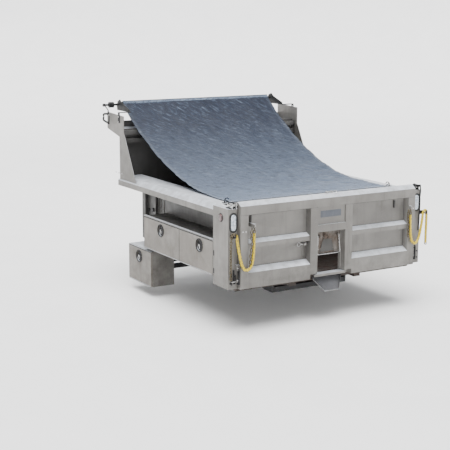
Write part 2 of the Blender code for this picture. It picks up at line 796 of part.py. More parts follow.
def box_door(name, latch_name, side, rear, front, low, high, latch_y, parent):
    """A drop-down door with its recessed T-latch."""
    latch_z = high - LATCH_DROP
    hinge = pivot(name + "_hinge", (side * HALF, (rear + front) / 2, low), parent)
    inner, outer = DOOR_INNER, HALF
    door = box(name, (side * inner, rear, low), (side * outer, front, high))
    cut(
        door,
        box(
            "door_inside", (side * (inner - 0.01), rear + SKIN, low + SKIN),
            (side * (outer - SKIN), front - SKIN, high - SKIN),
        ),
    )
    centre = (latch_y, latch_z)
    back = outer - CUP_DEPTH
    weld(
        door,
        rod("cup", (side * (back - SKIN), *centre), (side * (outer - WELD), *centre),
            CUP_RADIUS + CUP_WALL),
    )
    cut(
        door,
        rod("cup_inside", (side * back, *centre), (side * (outer + 0.02), *centre), CUP_RADIUS),
        rod("spindle_hole", (side * (inner - 0.02), *centre), (side * outer, *centre),
            SPINDLE_RADIUS + RUNNING, sides=12),
    )
    finish(door, DOOR_STEEL, hinge)
    turn = pivot(latch_name + "_turn", (side * outer, *centre), hinge)
    handle = box(
        latch_name, (side * (back + 0.002), latch_y - LATCH_HALF, latch_z - LATCH_WIDTH / 2),
        (side * (outer - 0.002), latch_y + LATCH_HALF, latch_z + LATCH_WIDTH / 2),
    )
    weld(
        handle,
        rod("spindle", (side * (inner + 0.001), *centre), (side * (back + 0.004), *centre),
            SPINDLE_RADIUS, sides=12),
    )
    finish(handle, CHROME, turn)


def toolbox(side, bed):
    name = side_name(side)
    rear = POST_DEPTH + 0.0025
    shell = box_shell(
        f"toolbox_{name}", side, rear, BOX_FRONT, BOX_LOW, BOX_HIGH, (BOX_SEAM,)
    )
    finish(shell, STEEL, bed)
    low, high = BOX_LOW + DOOR_GAP, BOX_HIGH - DOOR_GAP
    seam = DOOR_GAP / 2
    box_door(
        f"rear_door_{name}", f"rear_door_latch_{name}", side, rear + DOOR_GAP, BOX_SEAM - seam,
        low, high, REAR_LATCH_Y, bed,
    )
    box_door(
        f"front_door_{name}", f"front_door_latch_{name}", side, BOX_SEAM + seam,
        BOX_FRONT - seam, low, high, FRONT_LATCH_Y, bed,
    )


def underbody_box(side):
    name = side_name(side)
    shell = box_shell(
        f"underbody_box_{name}", side, UNDER_BOX_REAR, UNDER_BOX_FRONT, UNDER_BOX_LOW,
        UNDER_BOX_HIGH, (),
    )
    finish(shell, STEEL)
    box_door(
        f"underbody_door_{name}", f"underbody_latch_{name}", side, UNDER_BOX_REAR + DOOR_GAP,
        UNDER_BOX_FRONT - DOOR_GAP, UNDER_BOX_LOW + DOOR_GAP, UNDER_BOX_HIGH - DOOR_GAP,
        UNDER_LATCH_Y, None,
    )


# Tailgate


def chute_voids():
    wall = GATE_WALL
    out, back = GATE_OUT + wall, GATE_IN - GATE_SKIN
    top_face = GATE_TOP - TOP_RAIL_SLOPE[1]
    voids = [
        prism(
            "top_rail_inside",
            [
                (out, TOP_RAIL_LOW + wall), (out, top_face - 0.003),
                (GATE_OUT + TOP_RAIL_SLOPE[0] + 0.001, GATE_TOP - wall), (back, GATE_TOP - wall),
                (back, TOP_RAIL_LOW + wall),
            ],
            "X", wall - GATE_HALF, GATE_HALF - wall,
        ),
        box("header_inside", (-CHUTE_HALF - 0.01, MID_RIB_OUT + wall, CROSS_RAIL[1] - wall),
            (CHUTE_HALF + 0.01, back, TOP_RAIL_LOW + 0.01)),
        box("cross_rail_inside", (-CHUTE_HALF - 0.01, out, CROSS_RAIL[0] + wall),
            (CHUTE_HALF + 0.01, back, CROSS_RAIL[1] - wall + WELD)),
    ]
    post_in = GATE_HALF - GATE_POST
    chute_out = CHUTE_HALF + CHUTE_POST
    rib_low, rib_high = MID_RIB
    face_low, face_high = MID_RIB_FACE
    for side in both_sides():
        voids += [
            box("end_post_inside", (side * (post_in + wall), out, wall),
                (side * (GATE_HALF - wall), back, TOP_RAIL_LOW + 0.01)),
            box("chute_post_inside", (side * (CHUTE_HALF + wall), out, CHUTE_POST_LOW + wall),
                (side * (chute_out - wall), back, TOP_RAIL_LOW + 0.01)),
            prism(
                "bottom_rail_inside",
                [(out, wall), (out, BOTTOM_RAIL - 0.003), (back, BOTTOM_SHELF - 0.005), (back, wall)],
                "X", side * (chute_out + wall), side * (post_in + wall + 0.005),
            ),
            box("bottom_rail_duct", (side * (chute_out - 0.01), -0.03, CHUTE_POST_LOW + 0.01),
                (side * (chute_out + 0.01), 0.01, BOTTOM_RAIL - 0.02)),
            prism(
                "mid_rib_inside",
                [
                    (back, rib_low + wall), (MID_RIB_OUT + wall, face_low + wall),
                    (MID_RIB_OUT + wall, face_high - 0.003), (back, rib_high - 0.005),
                ],
                "X", side * (chute_out - 0.01), side * (post_in + wall + 0.005),
            ),
            box("drain", (side * (post_in + 0.03), -0.02, -0.01),
                (side * (post_in + 0.05), 0, 0.01)),
        ]
    return voids


def tailgate(bed):
    swing = pivot("tailgate_swing", (0, *GATE_HINGE), bed)
    skin = GATE_IN - GATE_SKIN
    top_face = GATE_TOP - TOP_RAIL_SLOPE[1]
    frame = box("tailgate_frame", (-GATE_HALF, skin, 0), (GATE_HALF, GATE_IN, TOP_RAIL_LOW + 0.03))
    joined = skin + WELD
    top_rail_shape = prism(
        "top_rail",
        [
            (GATE_OUT, TOP_RAIL_LOW), (GATE_OUT, top_face),
            (GATE_OUT + TOP_RAIL_SLOPE[0], GATE_TOP), (GATE_IN, GATE_TOP), (GATE_IN, TOP_RAIL_LOW),
        ],
        "X", -GATE_HALF, GATE_HALF,
    )
    pieces = [
        top_rail_shape,
        box("header", (-CHUTE_HALF - WELD, MID_RIB_OUT, CROSS_RAIL[1] - WELD),
            (CHUTE_HALF + WELD, joined, TOP_RAIL_LOW + WELD)),
        box("cross_rail", (-CHUTE_HALF - WELD, GATE_OUT, CROSS_RAIL[0]),
            (CHUTE_HALF + WELD, joined, CROSS_RAIL[1])),
    ]
    post_in = GATE_HALF - GATE_POST
    chute_out = CHUTE_HALF + CHUTE_POST
    for side in both_sides():
        pieces += [
            box("end_post", (side * post_in, GATE_OUT, 0),
                (side * GATE_HALF, joined, TOP_RAIL_LOW + WELD)),
            box("chute_post", (side * CHUTE_HALF, GATE_OUT, CHUTE_POST_LOW),
                (side * chute_out, joined, TOP_RAIL_LOW + WELD)),
            prism(
                "bottom_rail",
                [(GATE_OUT, 0), (GATE_OUT, BOTTOM_RAIL), (joined, BOTTOM_SHELF), (joined, 0)],
                "X", side * (chute_out - WELD), side * (post_in + WELD),
            ),
            prism(
                "mid_rib",
                [
                    (joined, MID_RIB[0]), (MID_RIB_OUT, MID_RIB_FACE[0]),
                    (MID_RIB_OUT, MID_RIB_FACE[1]), (joined, MID_RIB[1]),
                ],
                "X", side * (chute_out - WELD), side * (post_in + WELD),
            ),
            rod("latch_stud", (side * (GATE_HALF - 0.002), *STUD), (side * (LATCH_X[1] + 0.006), *STUD),
                STUD_RADIUS, sides=16),
        ]
    weld(frame, *pieces)
    openings = [
        box("chute_opening", (-OPENING_HALF, skin - 0.02, -0.01),
            (OPENING_HALF, GATE_IN + 0.02, OPENING_TOP)),
        box("lip_notch", (-LIP_HALF - 0.004, skin - 0.02, -0.01),
            (LIP_HALF + 0.004, GATE_IN + 0.02, LIP_TOP + 0.008)),
    ]
    cut(frame, *chute_voids(), *openings)
    details = []
    for side, lug_x, seat in ((-1, LEFT_LUG, joined), (1, RIGHT_LUG, GATE_OUT + WELD)):
        details.append(
            box("guide", (side * GUIDE_IN, skin - GUIDE - DOOR_PLATE - 2 * GAP, CHUTE_POST_LOW + 0.005),
                (side * (CHUTE_HALF + WELD), skin - DOOR_PLATE - 2 * GAP, CROSS_RAIL[0] + WELD))
        )
        details.append(
            box("chain_lug", (lug_x - 0.010, -0.092, LUG_LOW), (lug_x + 0.010, seat, LUG_LOW + 0.035))
        )
    lock_y, lock_z = LOCK_PIN
    details += [
        box("lock_block", (-0.325, lock_y - 0.014, lock_z - 0.016), (-0.285, joined, lock_z + 0.016)),
        box("lock_strap", (-0.32, skin - 0.006, 0.235), (-0.285, joined, 0.42)),
    ]
    weld(frame, *details)
    cut(
        frame,
        rod("lock_pin_hole", (-0.4, *LOCK_PIN), (-0.15, *LOCK_PIN), LOCK_PIN_RADIUS + RUNNING, sides=12),
    )
    finish(frame, STEEL, swing)
    for side in both_sides():
        pin = rod(
            f"tailgate_pin_{side_name(side)}", (side * (GATE_HALF + GAP), *GATE_HINGE),
            (side * GATE_PIN_END, *GATE_HINGE), GATE_PIN_RADIUS,
        )
        finish(pin, CHROME, swing)
    return swing


def tailgate_hinge(side, bed):
    y, z = GATE_HINGE
    foot = SIDE_HEIGHT + GAP
    outline = [(y - 0.012, foot), (y + 0.075, foot), (y + 0.03, z + 0.03), (y - 0.012, z + 0.03)]
    inner = side * (HALF - 0.074)
    ear = prism(f"tailgate_hinge_{side_name(side)}", outline, "X", inner, inner + side * 0.012)
    weld(
        ear,
        box("foot", (side * (HALF - 0.095), 0.004, foot), (side * (HALF - 0.03), 0.10, foot + 0.008)),
    )
    cut(
        ear,
        rod("pin_hole", (inner - side * 0.02, y, z), (inner + side * 0.03, y, z),
            GATE_PIN_RADIUS + RUNNING),
    )
    return finish(ear, BLACK, bed)


def chute_door(swing):
    back = GATE_IN - GATE_SKIN - GAP
    front = back - DOOR_PLATE
    slide = pivot("chute_door_slide", (0, front, DOOR_LOW), swing)
    half = CHUTE_HALF - 0.007
    door = box("chute_door", (-half, front, DOOR_LOW), (half, back, DOOR_HIGH))
    x, y, z = BAIL_PIVOT
    pieces = [
        prism(
            "stiffener", [(-0.105, 0.256), (0.085, 0.256), (0.05, 0.392), (-0.062, 0.392)],
            "Y", front - 0.004, front + WELD,
        ),
        rod("lock_bolt", (-0.03, front - 0.018, 0.425), (-0.03, front + WELD, 0.425), 0.02, sides=6),
        rod("washer", (0.02, front - 0.006, 0.40), (0.02, front + WELD, 0.40), 0.017, sides=16),
        rod("bolt", (0.09, front - 0.009, 0.42), (0.09, front + WELD, 0.42), 0.012, sides=6),
        box("toe", (-0.15, front - 0.006, DOOR_LOW), (0.15, front + WELD, DOOR_LOW + 0.01)),
    ]
    for side in both_sides():
        pieces.append(
            box("bail_ear", (side * (x - 0.009), y - 0.012, z - 0.014), (side * (x - 0.003), front + WELD,
                z + 0.014))
        )
    weld(door, *pieces)
    cut(door, rod("bail_hole", (-0.14, y, z), (0.14, y, z), BAIL_RADIUS + RUNNING, sides=12))
    finish(door, RUST, slide)
    lift = pivot("door_handle_lift", (0, y, z), slide)
    low = 0.235
    half_grip = [
        (x - 0.014, y, z), (x + 0.004, y, z), (x + 0.009, y, z - 0.008), (0.138, y - 0.004, 0.34),
        (0.146, y - 0.006, 0.262), (0.142, y - 0.006, low + 0.008), (0.132, y - 0.006, low),
    ]
    mirrored = [(-px, py, pz) for px, py, pz in reversed(half_grip)]
    finish(tube("door_handle", half_grip + mirrored, BAIL_RADIUS), CHROME, lift)


def door_lock(swing):
    """A pull pin beside the chute's left post, with its ring."""
    y, z = LOCK_PIN
    face = GATE_IN - GATE_SKIN - GAP
    draw = pivot("door_lock_draw", (-0.29, y, z), swing)
    tip = -CHUTE_HALF - 0.002
    end = tip - 0.18
    pin = rod("door_lock_pin", (end, y, z), (tip, y, z), LOCK_PIN_RADIUS, sides=12)
    ring = []
    for step in range(16):
        angle = 2 * math.pi * step / 16
        ring.append((end - RING_RADIUS * (1 - math.cos(angle)), y, z - RING_RADIUS * math.sin(angle)))
    ring = tube("ring", ring, 0.0035, cyclic=True)
    weld(pin, ring, rod("collar", (end + 0.004, y, z), (end + 0.014, y, z), 0.010, sides=12))
    finish(pin, CHROME, draw)


def latch_hook(side, bed):
    y, z = LATCH_PIVOT
    stud_y, stud_z = STUD
    turn = pivot(f"latch_turn_{side_name(side)}", (side * LATCH_X[0], y, z), bed)
    reach = stud_y - STUD_RADIUS - 0.004
    toe = stud_z - STUD_RADIUS - 0.005
    outline = [
        (y + 0.012, z + 0.012), (y - 0.012, z + 0.012), (reach - 0.014, z - 0.03),
        (reach - 0.014, toe - 0.016),
        (stud_y + 0.012, toe - 0.016), (stud_y + 0.012, toe), (reach, toe), (reach, z - 0.05),
        (y + 0.012, z - 0.02),
    ]
    hook = prism(f"latch_hook_{side_name(side)}", outline, "X", side * LATCH_X[0], side * LATCH_X[1])
    ends = LATCH_X[0] - 0.01, LATCH_X[1] + 0.01
    cut(hook, rod("pivot_hole", (side * ends[0], y, z), (side * ends[1], y, z), 0.007 + RUNNING, sides=16))
    finish(hook, BLACK, turn)


# Lights, chute lip, spill apron, chains


def oval_light(side, bed):
    centre = (side * OVAL_X, OVAL_Z)
    name = side_name(side)
    ring = prism(f"light_grommet_{name}", rounded_bar(centre, OVAL_HALF), "Y", -0.008, -GAP)
    seat = (OVAL_HALF[0] - 0.0068, OVAL_HALF[1] - 0.0068)
    weld(ring, prism("seat", rounded_bar(centre, seat), "Y", -0.004, 0.012))
    cut(ring, prism("lens_hole", rounded_bar(centre, LENS_HALF), "Y", -0.02, 0.02))
    finish(ring, RUBBER, bed)
    half = (LENS_HALF[0] - GAP, LENS_HALF[1] - GAP)
    lens = prism(f"light_lens_{name}", rounded_bar(centre, half), "Y", -0.011, 0.012)
    finish(lens, CLEAR, bed)


def marker_light(side, bed):
    start, end = side * (HALF + GAP), side * (HALF + 0.014)
    lens = rod(
        f"marker_light_{side_name(side)}", (start, MARKER_Y, MARKER_Z), (end, MARKER_Y, MARKER_Z),
        MARKER_RADIUS, MARKER_RADIUS * 0.8,
    )
    finish(lens, RED, bed)


def chute_lip(bed):
    thick = 0.006
    outline = [
        (LIP_REAR, 0.010), (LIP_REAR, LIP_TOP), (FLOOR_REAR - GAP, LIP_TOP),
        (FLOOR_REAR - GAP, LIP_TOP - thick), (LIP_REAR + thick, LIP_TOP - thick),
        (LIP_REAR + thick, 0.010),
    ]
    return finish(prism("chute_lip", outline, "X", -LIP_HALF, LIP_HALF), STEEL, bed)


def spill_apron(bed):
    top, low = Vector((0, *APRON_TOP)), Vector((0, *APRON_LOW))
    down = (low - top).normalized()
    out = Vector((0, -down.z, down.y)) * -1
    length = (low - top).length
    outline = [
        (-APRON_TOP_HALF, 0), (APRON_TOP_HALF, 0), (APRON_LOW_HALF, length), (-APRON_LOW_HALF, length)
    ]
    apron = prism("spill_apron", outline, "Z", -SHEET / 2, SHEET / 2)
    apron.location = top + DATUM
    apron.rotation_euler = (math.atan2(down.z, down.y), 0, 0)
    rear = out if out.y < 0 else -out
    flanges = []
    for side in both_sides():
        start = top + Vector((side * APRON_TOP_HALF, 0, 0)) + rear * APRON_FLANGE / 2 + down * 0.012
        end = low + Vector((side * APRON_LOW_HALF, 0, 0)) + rear * APRON_FLANGE / 2
        flanges.append(bar("flange", start, end, SHEET, APRON_FLANGE + SHEET, up=rear))
    weld(apron, *flanges)
    return finish(apron, STEEL, bed)


def chain_keeper(side, bed):
    x, z = LEFT_PEG if side < 0 else RIGHT_PEG
    start = (x, -GAP, z) if side < 0 else (x, 0.012, z)
    tip = [(x, -0.070, z), (x, -0.078, z + 0.006), (x, -0.080, z + 0.034)]
    keeper = tube(f"chain_keeper_{side_name(side)}", [start, *tip], PEG_RADIUS, 3)
    if side < 0:
        weld(keeper, box("pad", (x - 0.02, -0.006, z - 0.02), (x + 0.02, -GAP, z + 0.02)))
    else:
        weld(keeper, box("pad", (HALF + GAP, 0.003, z - 0.02), (x + 0.010, 0.021, z + 0.02)))
    finish(keeper, BLACK, bed)


LEFT_CHAIN = (
    (0.257, -0.074, LUG_LOW - GAP), (0.257, -0.074, 0.52), (0.254, -0.075, 0.42),
    (0.246, -0.076, 0.32), (0.228, -0.078, 0.245), (0.195, -0.080, 0.205), (0.155, -0.080, 0.200),
    (0.123, -0.079, 0.235), (0.103, -0.074, 0.30), (0.088, -0.066, 0.38), (0.077, -0.056, 0.46),
    (0.071, -0.048, 0.525), (0.063, -0.045, 0.553), (0.042, -0.043, 0.565), (0.021, -0.041, 0.553),
    (0.014, -0.038, 0.52), (0.013, -0.032, 0.42), (0.015, -0.028, 0.30), (0.015, -0.028, 0.18),
    (0.015, -0.028, 0.10),
)
RIGHT_CHAIN = (
    (-0.192, -0.074, LUG_LOW - GAP), (-0.192, -0.074, 0.50), (-0.189, -0.075, 0.40),
    (-0.180, -0.077, 0.32), (-0.162, -0.080, 0.265), (-0.130, -0.082, 0.240),
    (-0.092, -0.082, 0.262), (-0.062, -0.077, 0.32), (-0.038, -0.069, 0.40), (-0.015, -0.060, 0.48),
    (-0.001, -0.052, 0.545), (0.009, -0.048, 0.573), (0.030, -0.047, 0.585), (0.051, -0.045, 0.573),
    (0.060, -0.042, 0.53), (0.064, -0.038, 0.42), (0.066, -0.035, 0.32), (0.067, -0.035, 0.21),
)


def chain(side, bed):
    """One safety chain; its route is measured across from the body's side."""
    points = [(side * HALF + x, y, z) for x, y, z in (LEFT_CHAIN if side < 0 else RIGHT_CHAIN)]
    route = [tuple(place) for place in smooth_route(points, 2)]
    finish(tube(f"chain_{side_name(side)}", route, CHAIN_RADIUS), YELLOW, bed)


def main():
    bed = pivot("bed_tilt", (0, HINGE_SETBACK, HINGE_DROP))
    subframe()
    hinge_shaft()
    hoist()
    bed_floor(bed)
    bulkhead(bed)
    cab_shield(bed)
    tarp_roller(bed)
    tarp(bed)
    chute_lip(bed)
    spill_apron(bed)
    swing = tailgate(bed)
    chute_door(swing)
    door_lock(swing)
    for side in both_sides():
        side_wall(side, bed)
        top_rail(side, bed)
        corner_post(side, bed)
        shield_plate(side, bed)
        tarp_bracket(side, bed)
        tarp_hook(side, bed)
        toolbox(side, bed)
        underbody_box(side)
        tailgate_hinge(side, bed)
        latch_hook(side, bed)
        oval_light(side, bed)
        marker_light(side, bed)
        chain_keeper(side, bed)
        chain(side, bed)


main()
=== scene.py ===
import json
import math
import bmesh
import bpy
from mathutils import Matrix, Vector, noise


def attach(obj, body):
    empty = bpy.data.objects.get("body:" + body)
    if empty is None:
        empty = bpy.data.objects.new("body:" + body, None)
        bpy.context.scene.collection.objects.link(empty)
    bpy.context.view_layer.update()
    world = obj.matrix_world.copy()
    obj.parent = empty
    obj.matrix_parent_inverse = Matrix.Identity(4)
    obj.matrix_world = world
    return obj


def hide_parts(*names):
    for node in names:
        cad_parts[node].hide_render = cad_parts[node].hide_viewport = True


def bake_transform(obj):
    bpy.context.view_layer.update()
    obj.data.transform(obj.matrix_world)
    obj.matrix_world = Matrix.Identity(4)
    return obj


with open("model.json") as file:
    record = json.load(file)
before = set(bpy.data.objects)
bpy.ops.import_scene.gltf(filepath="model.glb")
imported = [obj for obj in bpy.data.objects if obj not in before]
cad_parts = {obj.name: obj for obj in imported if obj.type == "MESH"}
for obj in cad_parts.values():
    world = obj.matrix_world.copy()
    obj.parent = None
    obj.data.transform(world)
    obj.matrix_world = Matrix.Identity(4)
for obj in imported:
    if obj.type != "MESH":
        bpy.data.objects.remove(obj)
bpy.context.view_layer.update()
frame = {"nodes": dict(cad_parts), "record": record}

# The part's own datum: its origin is 0.35 ahead of the posts' rear face and 0.20 below their feet
postRear = -0.35
postFoot = 0.20


# ---- camera, light and floor

camera = {"place": (-6.633, -9.37, 2.957), "yaw": 0.537, "pitch": -0.197, "roll": -0.003, "lens": 87.7}


def makeCamera():
    data = bpy.data.cameras.new("camera")
    data.lens = camera["lens"]
    data.clip_end = 200
    eye = bpy.data.objects.new("camera", data)
    bpy.context.scene.collection.objects.link(eye)
    eye.location = camera["place"]
    eye.rotation_euler = (math.pi / 2 + camera["pitch"], camera["roll"], -camera["yaw"])
    bpy.context.scene.camera = eye


lamps = (
    # name, place, size, power
    ("keyLamp", (-5.0, -6.0, 4.5), 3.0, 70),
    ("fillLamp", (3.5, -7.5, 3.0), 4.0, 20),
    ("sideLamp", (-8.0, 2.0, 2.2), 3.0, 40),
    ("frontLamp", (3.0, 8.0, 5.5), 5.0, 120),
)


def makeLight():
    target = Vector((0, 0.9, 0.7))
    for name, place, size, power in lamps:
        data = bpy.data.lights.new(name, "AREA")
        data.size = size
        data.energy = power
        lamp = bpy.data.objects.new(name, data)
        bpy.context.scene.collection.objects.link(lamp)
        lamp.location = place
        lamp.rotation_euler = (target - Vector(place)).to_track_quat("-Z", "Y").to_euler()
    data = bpy.data.lights.new("softSky", "SUN")
    data.energy = 8.0
    data.angle = 1.0
    sky = bpy.data.objects.new("softSky", data)
    bpy.context.scene.collection.objects.link(sky)
    sky.rotation_euler = (math.radians(9), math.radians(-10), 0)
    world = bpy.data.worlds.new("studio")
    bpy.context.scene.world = world
    world.use_nodes = True
    background = world.node_tree.nodes["Background"]
    background.inputs["Color"].default_value = (0.93, 0.95, 1.0, 1)
    background.inputs["Strength"].default_value = 0.34


floorSpec = {"height": -0.27, "flat": 20, "rise": 10}


def makeFloor():
    # a flat disc that curves up into a backdrop all round
    bm = bmesh.new()
    flat, rise = floorSpec["flat"], floorSpec["rise"]
    profile = [(flat * k / 4, 0) for k in range(5)]
    profile += [
        (flat + rise * math.sin(t), rise * (1 - math.cos(t))) for t in [math.pi * k / 20 for k in range(1, 11)]
    ]
    profile.append((flat + rise, rise * 1.3))
    verts = [bm.verts.new((x, 0, z + floorSpec["height"])) for x, z in profile]
    edges = [bm.edges.new(pair) for pair in zip(verts, verts[1:])]
    bmesh.ops.spin(
        bm, geom=verts + edges, cent=(0, 0, 0), axis=(0, 0, 1), angle=2 * math.pi, steps=64, use_merge=True
    )
    bmesh.ops.remove_doubles(bm, verts=bm.verts, dist=0.0001)
    bmesh.ops.recalc_face_normals(bm, faces=bm.faces)
    bm.faces.ensure_lookup_table()
    if min(bm.faces, key=lambda face: face.calc_center_median().length).normal.z < 0:
        bmesh.ops.reverse_faces(bm, faces=bm.faces)
    floor = meshPiece("floor", bm)
    material, tree, shader, coords = startMaterial("paleFloor", 0.7, 0)
    grain = noiseAt(tree, coords, 1.5, 3)
    colour = rampOf(tree, grain, ((0.3, (0.84, 0.84, 0.84)), (0.7, (0.87, 0.87, 0.865))))
    tree.links.new(colour, shader.inputs["Base Color"])
    floor.data.materials.append(material)


# ---- node and mesh helpers


def startMaterial(name, roughness, metallic):
    material = bpy.data.materials.new(name)
    material.use_nodes = True
    tree = material.node_tree
    shader = tree.nodes["Principled BSDF"]
    shader.inputs["Roughness"].default_value = roughness
    shader.inputs["Metallic"].default_value = metallic
    coords = tree.nodes.new("ShaderNodeTexCoord").outputs["Object"]
    return material, tree, shader, coords


def stretched(tree, coords, scale, turn=(0, 0, 0)):
    mapping = tree.nodes.new("ShaderNodeMapping")
    mapping.inputs["Scale"].default_value = scale
    mapping.inputs["Rotation"].default_value = turn
    tree.links.new(coords, mapping.inputs["Vector"])
    return mapping.outputs["Vector"]


def noiseAt(tree, coords, scale, detail=5, rough=0.55, twist=0):
    node = tree.nodes.new("ShaderNodeTexNoise")
    node.inputs["Scale"].default_value = scale
    node.inputs["Detail"].default_value = detail
    node.inputs["Roughness"].default_value = rough
    node.inputs["Distortion"].default_value = twist
    tree.links.new(coords, node.inputs["Vector"])
    return node.outputs["Fac"]


def rampOf(tree, value, stops):
    node = tree.nodes.new("ShaderNodeValToRGB")
    ramp = node.color_ramp
    while len(ramp.elements) < len(stops):
        ramp.elements.new(0.5)
    for element, (place, colour) in zip(ramp.elements, stops):
        element.position = place
        element.color = (*colour, 1)
    tree.links.new(value, node.inputs["Fac"])
    return node.outputs["Color"]


def spread(tree, value, low, high, start=0.0, end=1.0):
    # maps low..high to start..end
    node = tree.nodes.new("ShaderNodeMapRange")
    for socket, number in zip(("From Min", "From Max", "To Min", "To Max"), (low, high, start, end)):
        node.inputs[socket].default_value = number
    tree.links.new(value, node.inputs["Value"])
    return node.outputs["Result"]


def sums(tree, kind, first, second):
    node = tree.nodes.new("ShaderNodeMath")
    node.operation = kind
    node.use_clamp = kind == "MULTIPLY"
    for socket, value in zip(node.inputs, (first, second)):
        if isinstance(value, (int, float)):
            socket.default_value = value
        else:
            tree.links.new(value, socket)
    return node.outputs["Value"]


def mixed(tree, amount, low, high, kind="MIX"):
    node = tree.nodes.new("ShaderNodeMix")
    node.data_type = "RGBA"
    node.blend_type = kind
    for socket, value in ((node.inputs[0], amount), (node.inputs[6], low), (node.inputs[7], high)):
        if isinstance(value, (int, float)):
            socket.default_value = value
        elif isinstance(value, tuple):
            socket.default_value = (*value, 1)
        else:
            tree.links.new(value, socket)
    return node.outputs[2]


def axisOf(tree, coords, axis):
    node = tree.nodes.new("ShaderNodeSeparateXYZ")
    tree.links.new(coords, node.inputs[0])
    return node.outputs[axis]


def bumped(tree, shader, height, strength, distance=0.002):
    node = tree.nodes.new("ShaderNodeBump")
    node.inputs["Strength"].default_value = strength
    node.inputs["Distance"].default_value = distance
    tree.links.new(height, node.inputs["Height"])
    last = shader.inputs["Normal"].links
    if last:
        tree.links.new(last[0].from_socket, node.inputs["Normal"])
    tree.links.new(node.outputs["Normal"], shader.inputs["Normal"])


def meshPiece(name, bm, material=None, smooth=35):
    mesh = bpy.data.meshes.new(name)
    bm.to_mesh(mesh)
    bm.free()
    for polygon in mesh.polygons:
        polygon.use_smooth = True
    mesh.set_sharp_from_angle(angle=math.radians(smooth))
    piece = bpy.data.objects.new(name, mesh)
    bpy.context.scene.collection.objects.link(piece)
    if material:
        mesh.materials.append(material)
    return piece


# ---- materials


def steelMaterial(name, light, dark, stain, metallic=0.35, dusted=0.85):
    # dull mill-finish sheet: cloudy patches, runs, salt spots, road dirt low down, dust and painted top light on what
    # faces up
    material, tree, shader, coords = startMaterial(name, 0.5, metallic)
    cloud = noiseAt(tree, coords, 1.7, 6)
    colour = rampOf(tree, cloud, ((0.32, dark), (0.68, light)))
    runs = noiseAt(tree, stretched(tree, coords, (16, 16, 1.3)), 1, 5, 0.6)
    amount = spread(tree, runs, 0.52, 0.78, 0, 0.42)
    colour = mixed(tree, amount, colour, stain)
    spots = noiseAt(tree, coords, 85, 2)
    amount = spread(tree, spots, 0.64, 0.72, 0, 0.35)
    colour = mixed(tree, amount, colour, tuple(min(1, c * 1.25) for c in light))
    low = spread(tree, axisOf(tree, coords, 2), 0.12, 0.62, 1, 0)
    splash = spread(tree, noiseAt(tree, coords, 5.5, 8, 0.7), 0.38, 0.7, 0, 0.7)
    colour = mixed(tree, sums(tree, "MULTIPLY", low, splash), colour, tuple(c * 0.62 for c in stain))
    # faces that point up are lightened towards pale grey: dust, and painted light falling from above
    if dusted:
        upFacingDustAndLight = spread(tree, axisOf(tree, coords.node.outputs["Normal"], 2), 0.25, 0.75, 0, dusted)
        patchy = spread(tree, noiseAt(tree, coords, 13, 7, 0.65), 0.3, 0.6, 0.55, 1)
        colour = mixed(tree, sums(tree, "MULTIPLY", upFacingDustAndLight, patchy), colour, (0.62, 0.65, 0.70))
    tree.links.new(colour, shader.inputs["Base Color"])
    gloss = noiseAt(tree, coords, 9, 4)
    tree.links.new(spread(tree, gloss, 0.3, 0.7, 0.38, 0.62), shader.inputs["Roughness"])
    grain = noiseAt(tree, stretched(tree, coords, (60, 60, 900)), 1, 2)
    bumped(tree, shader, grain, 0.12, 0.0005)
    bumped(tree, shader, noiseAt(tree, coords, 3.2, 2), 0.25, 0.01)
    return material


def blackMaterial():
    material, tree, shader, coords = startMaterial("wornBlack", 0.55, 0)
    scuff = spread(tree, noiseAt(tree, coords, 38, 6, 0.65), 0.56, 0.68, 0, 0.75)
    colour = mixed(tree, scuff, (0.008, 0.008, 0.009), (0.035, 0.034, 0.032))
    dust = spread(tree, noiseAt(tree, coords, 7, 5), 0.5, 0.8, 0, 0.12)
    colour = mixed(tree, dust, colour, (0.12, 0.115, 0.105))
    tree.links.new(colour, shader.inputs["Base Color"])
    tree.links.new(spread(tree, scuff, 0, 1, 0.5, 0.8), shader.inputs["Roughness"])
    shader.inputs["Specular IOR Level"].default_value = 0.3
    bumped(tree, shader, noiseAt(tree, coords, 240, 2), 0.15, 0.0006)
    return material


def rustMaterial(name, base, rust, pale, amount):
    # bare steel that salt has browned, with streaks downwards
    material, tree, shader, coords = startMaterial(name, 0.75, 0.25)
    patches = spread(tree, noiseAt(tree, coords, 7, 8, 0.68, 0.6), 0.36, 0.66, 0, amount)
    colour = mixed(tree, patches, base, rust)
    runs = spread(tree, noiseAt(tree, stretched(tree, coords, (45, 45, 3)), 1, 5), 0.5, 0.66, 0, 0.8)
    colour = mixed(tree, runs, colour, tuple(c * 0.4 for c in rust))
    salt = spread(tree, noiseAt(tree, coords, 30, 6, 0.7), 0.58, 0.70, 0, 0.7)
    colour = mixed(tree, salt, colour, pale)
    tree.links.new(colour, shader.inputs["Base Color"])
    tree.links.new(spread(tree, patches, 0, 1, 0.5, 0.9), shader.inputs["Roughness"])
    bumped(tree, shader, noiseAt(tree, coords, 95, 6, 0.7), 0.4, 0.0015)
    return material


def platedMaterial(name, bright, worn):
    material, tree, shader, coords = startMaterial(name, 0.3, 0.9)
    wear = spread(tree, noiseAt(tree, coords, 60, 5), 0.45, 0.7, 0, 0.6)
    colour = mixed(tree, wear, bright, worn)
    tree.links.new(colour, shader.inputs["Base Color"])
    tree.links.new(spread(tree, wear, 0, 0.6, 0.24, 0.55), shader.inputs["Roughness"])
    bumped(tree, shader, noiseAt(tree, coords, 300, 2), 0.1, 0.0004)
    return material


def rubberMaterial():
    material, tree, shader, coords = startMaterial("blackRubber", 0.7, 0)
    bloom = spread(tree, noiseAt(tree, coords, 55, 6), 0.45, 0.75, 0, 0.5)
    colour = mixed(tree, bloom, (0.012, 0.012, 0.012), (0.06, 0.06, 0.058))
    tree.links.new(colour, shader.inputs["Base Color"])
    bumped(tree, shader, noiseAt(tree, coords, 420, 2), 0.2, 0.0004)
    return material


